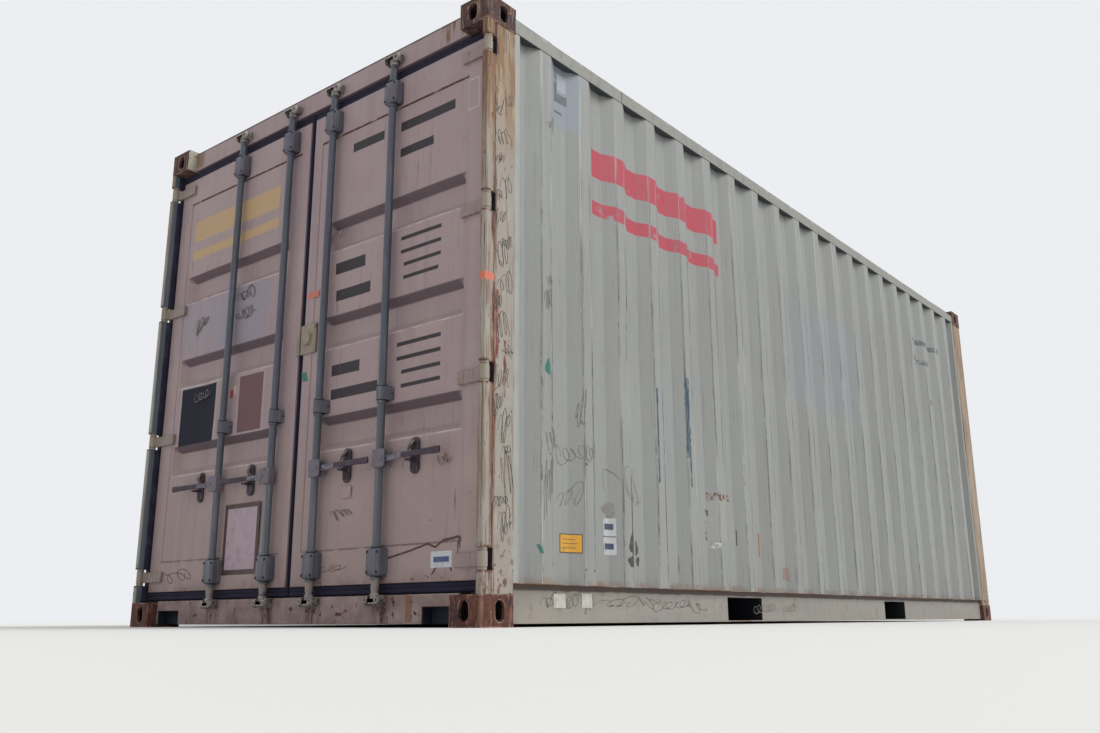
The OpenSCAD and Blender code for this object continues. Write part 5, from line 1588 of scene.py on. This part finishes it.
postFace = 1216.0
railFace = 1190.0
scribbles = {
    "wall_pen": (onWall, "#63655F", 2.6, [
        ((-2600, 2150), (60, 90), 3), ((-2631, 1330), (40, 110), 4), ((-2620, 1420), (30, 60), 3),
        ((-2631, 554), (60, 300), 5), ((-2600, 740), (80, 120), 4), ((-2451, 700), (170, 110), 4),
        ((-2470, 520), (120, 120), 3), ((-2345, 714), (60, 90), 3), ((-2060, 600), (210, 210), 2),
        ((-2400, 900), (60, 200), 3)]),
    "post_pen": (onPost, "#4C4642", 2.8, [
        ((-2950, 2080), (60, 90), 3), ((-2925, 1960), (90, 80), 4), ((-2900, 1750), (50, 120), 2),
        ((-2940, 1860), (50, 60), 5), ((-2900, 1500), (60, 70), 5), ((-2950, 1240), (40, 90), 4),
        ((-2890, 1050), (50, 60), 3), ((-2950, 830), (50, 120), 4), ((-2890, 660), (40, 60), 3),
        ((-2930, 460), (80, 60), 5), ((-2945, 1700), (40, 60), 3), ((-2890, 2140), (40, 60), 2),
        ((-2937, 1600), (60, 130), 3), ((-2905, 1330), (70, 130), 3), ((-2930, 1449), (70, 150), 3),
        ((-2904, 756), (60, 180), 3), ((-2887, 563), (60, 200), 3), ((-2925, 1150), (80, 170), 4),
        ((-2920, 940), (90, 160), 4), ((-2900, 380), (60, 160), 3)]),
    "rail_pen": (onRail, "#5F5B54", 3.0, [
        ((-2600, 96), (90, 84), 3), ((-2460, 98), (110, 70), 4), ((-2350, 92), (70, 90), 3),
        ((-2130, 98), (280, 80), 3), ((-1900, 98), (120, 84), 2), ((-1700, 90), (330, 64), 6),
        ((-1500, 80), (120, 56), 2), ((-800, 78), (260, 50), 6), ((-520, 80), (150, 46), 4)]),
    "left_door_pen": (onDoor, "#5B4E53", 5.0, [
        ((-480, 1630), (130, 80), 3), ((-470, 1530), (150, 60), 4), ((-870, 1545), (120, 110), 3),
        ((-900, 245), (240, 70), 3), ((-812, 1150), (120, 56), 4)]),
    "right_door_pen": (onDoor, "#6F6060", 4.0, [
        ((352, 470), (120, 50), 4), ((210, 1760), (150, 60), 4), ((960, 640), (60, 50), 3),
        ((300, 240), (150, 30), 3)]),
}
for number, (name, (surface, colour, width, marks)) in enumerate(scribbles.items()):
    parts = [stroke(surface, scrawl(100 * number + k, *mark, lean=0.3), width)
             for k, mark in enumerate(marks)]
    makePiece(name, parts, marker(name, colour), *home(surface, marks[0][0]))

crackLine = np.array([[640, 268], [675, 274], [784, 294], [881, 316], [923, 301], [966, 325], [1052, 336],
                      [1056, 290]])
lowLine = np.array([[905, 196], [928, 222], [955, 240], [987, 246], [1004, 227], [1015, 206]])
fine, cracks = np.linspace(0, 1, 60), []
for line in (crackLine, lowLine):
    marks = np.linspace(0, 1, len(line))
    along = np.stack([np.interp(fine, marks, line[:, k]) for k in (0, 1)], -1)
    cracks.append(stroke(onDoor, along, 8.0))
makePiece("right_door_rust_lines", cracks, marker("rustLine", "#4A2F2C", 0.62), "right_door",
          "taupe_paint")

labels = {
    "label_border": (onWall, (-2523, 290), (-2409, 368), "#4A4138", []),
    "yellow_label": (onWall, (-2519, 294), (-2413, 364), "#D19A2B", [
        ((-2508, -2440, 344, 348), "#8A6A38"),
        ((-2508, -2428, 327, 331), "#8A6A38"),
        ((-2508, -2436, 309, 313), "#8A6A38")]),
    "white_label": (onWall, (-2224, 294), (-2154, 451), "#B4B6B8", [
        ((-2216, -2166, 402, 428), "#39435C"),
        ((-2216, -2166, 318, 344), "#39435C"),
        ((-2226, -2150, 370, 375), "#6E5B5B")]),
    "green_scrap": (onWall, (-2681, 279), (-2666, 313), "#1F6B5A", []),
    "rail_label": (onRail, (-2581, 72), (-2505, 127), "#BDBBB2", []),
    "second_rail_label": (onRail, (-2398, 73), (-2330, 130), "#BDBBB2", []),
    "door_label": (onDoor, (900, 222), (1015, 285), "#C2C2C8", [
        ((915, 1000, 243, 264), "#3E4C7A")]),
    "pink_label": (onDoor, (343, 534), (405, 583), "#A48B8D", []),
    "placard": (onDoor, (-518, 237), (-238, 568), "#412628", [
        ((-497, -260, 260, 546), "#AF9AA4")]),
    "door_scrap": (onDoor, (30, 1094), (66, 1138), "#1F6B5A", []),
    "orange_tape": (onDoor, (28, 1492), (112, 1521), "#D0705F", []),
}
for name, (surface, low, high, colour, prints) in labels.items():
    lean = -17 if name in ("green_scrap", "door_scrap") else 0
    lift = 0.7 if name == "label_border" else 1.1
    vinyl = film(name, colour, shape=leafBlock if surface is onDoor else wallBlock, prints=prints)
    makePiece(name, [label(surface, low, high, lean, lift)], vinyl, *home(surface, low))

scraps = {
    "green_scraps": (onWall, "#1F6B5A", [((-2634, 1038), (34, 62))]),
    "dark_scraps": (onWall, "#3B3937", [
        ((-2058, 342), (40, 92)), ((-1976, 330), (26, 60)), ((-2066, 272), (44, 46)),
        ((-1968, 276), (26, 40))]),
    "torn_label": (onWall, "#7E7B77", [((-2190, 487), (72, 58))]),
}
for number, (name, (surface, colour, places)) in enumerate(scraps.items()):
    parts = [scrap(surface, middle, size, 7 * number + k) for k, (middle, size) in enumerate(places)]
    makePiece(name, parts, film(name, colour, peel=0.6), *home(surface, places[0][0]))
print("labels and scribbles made")
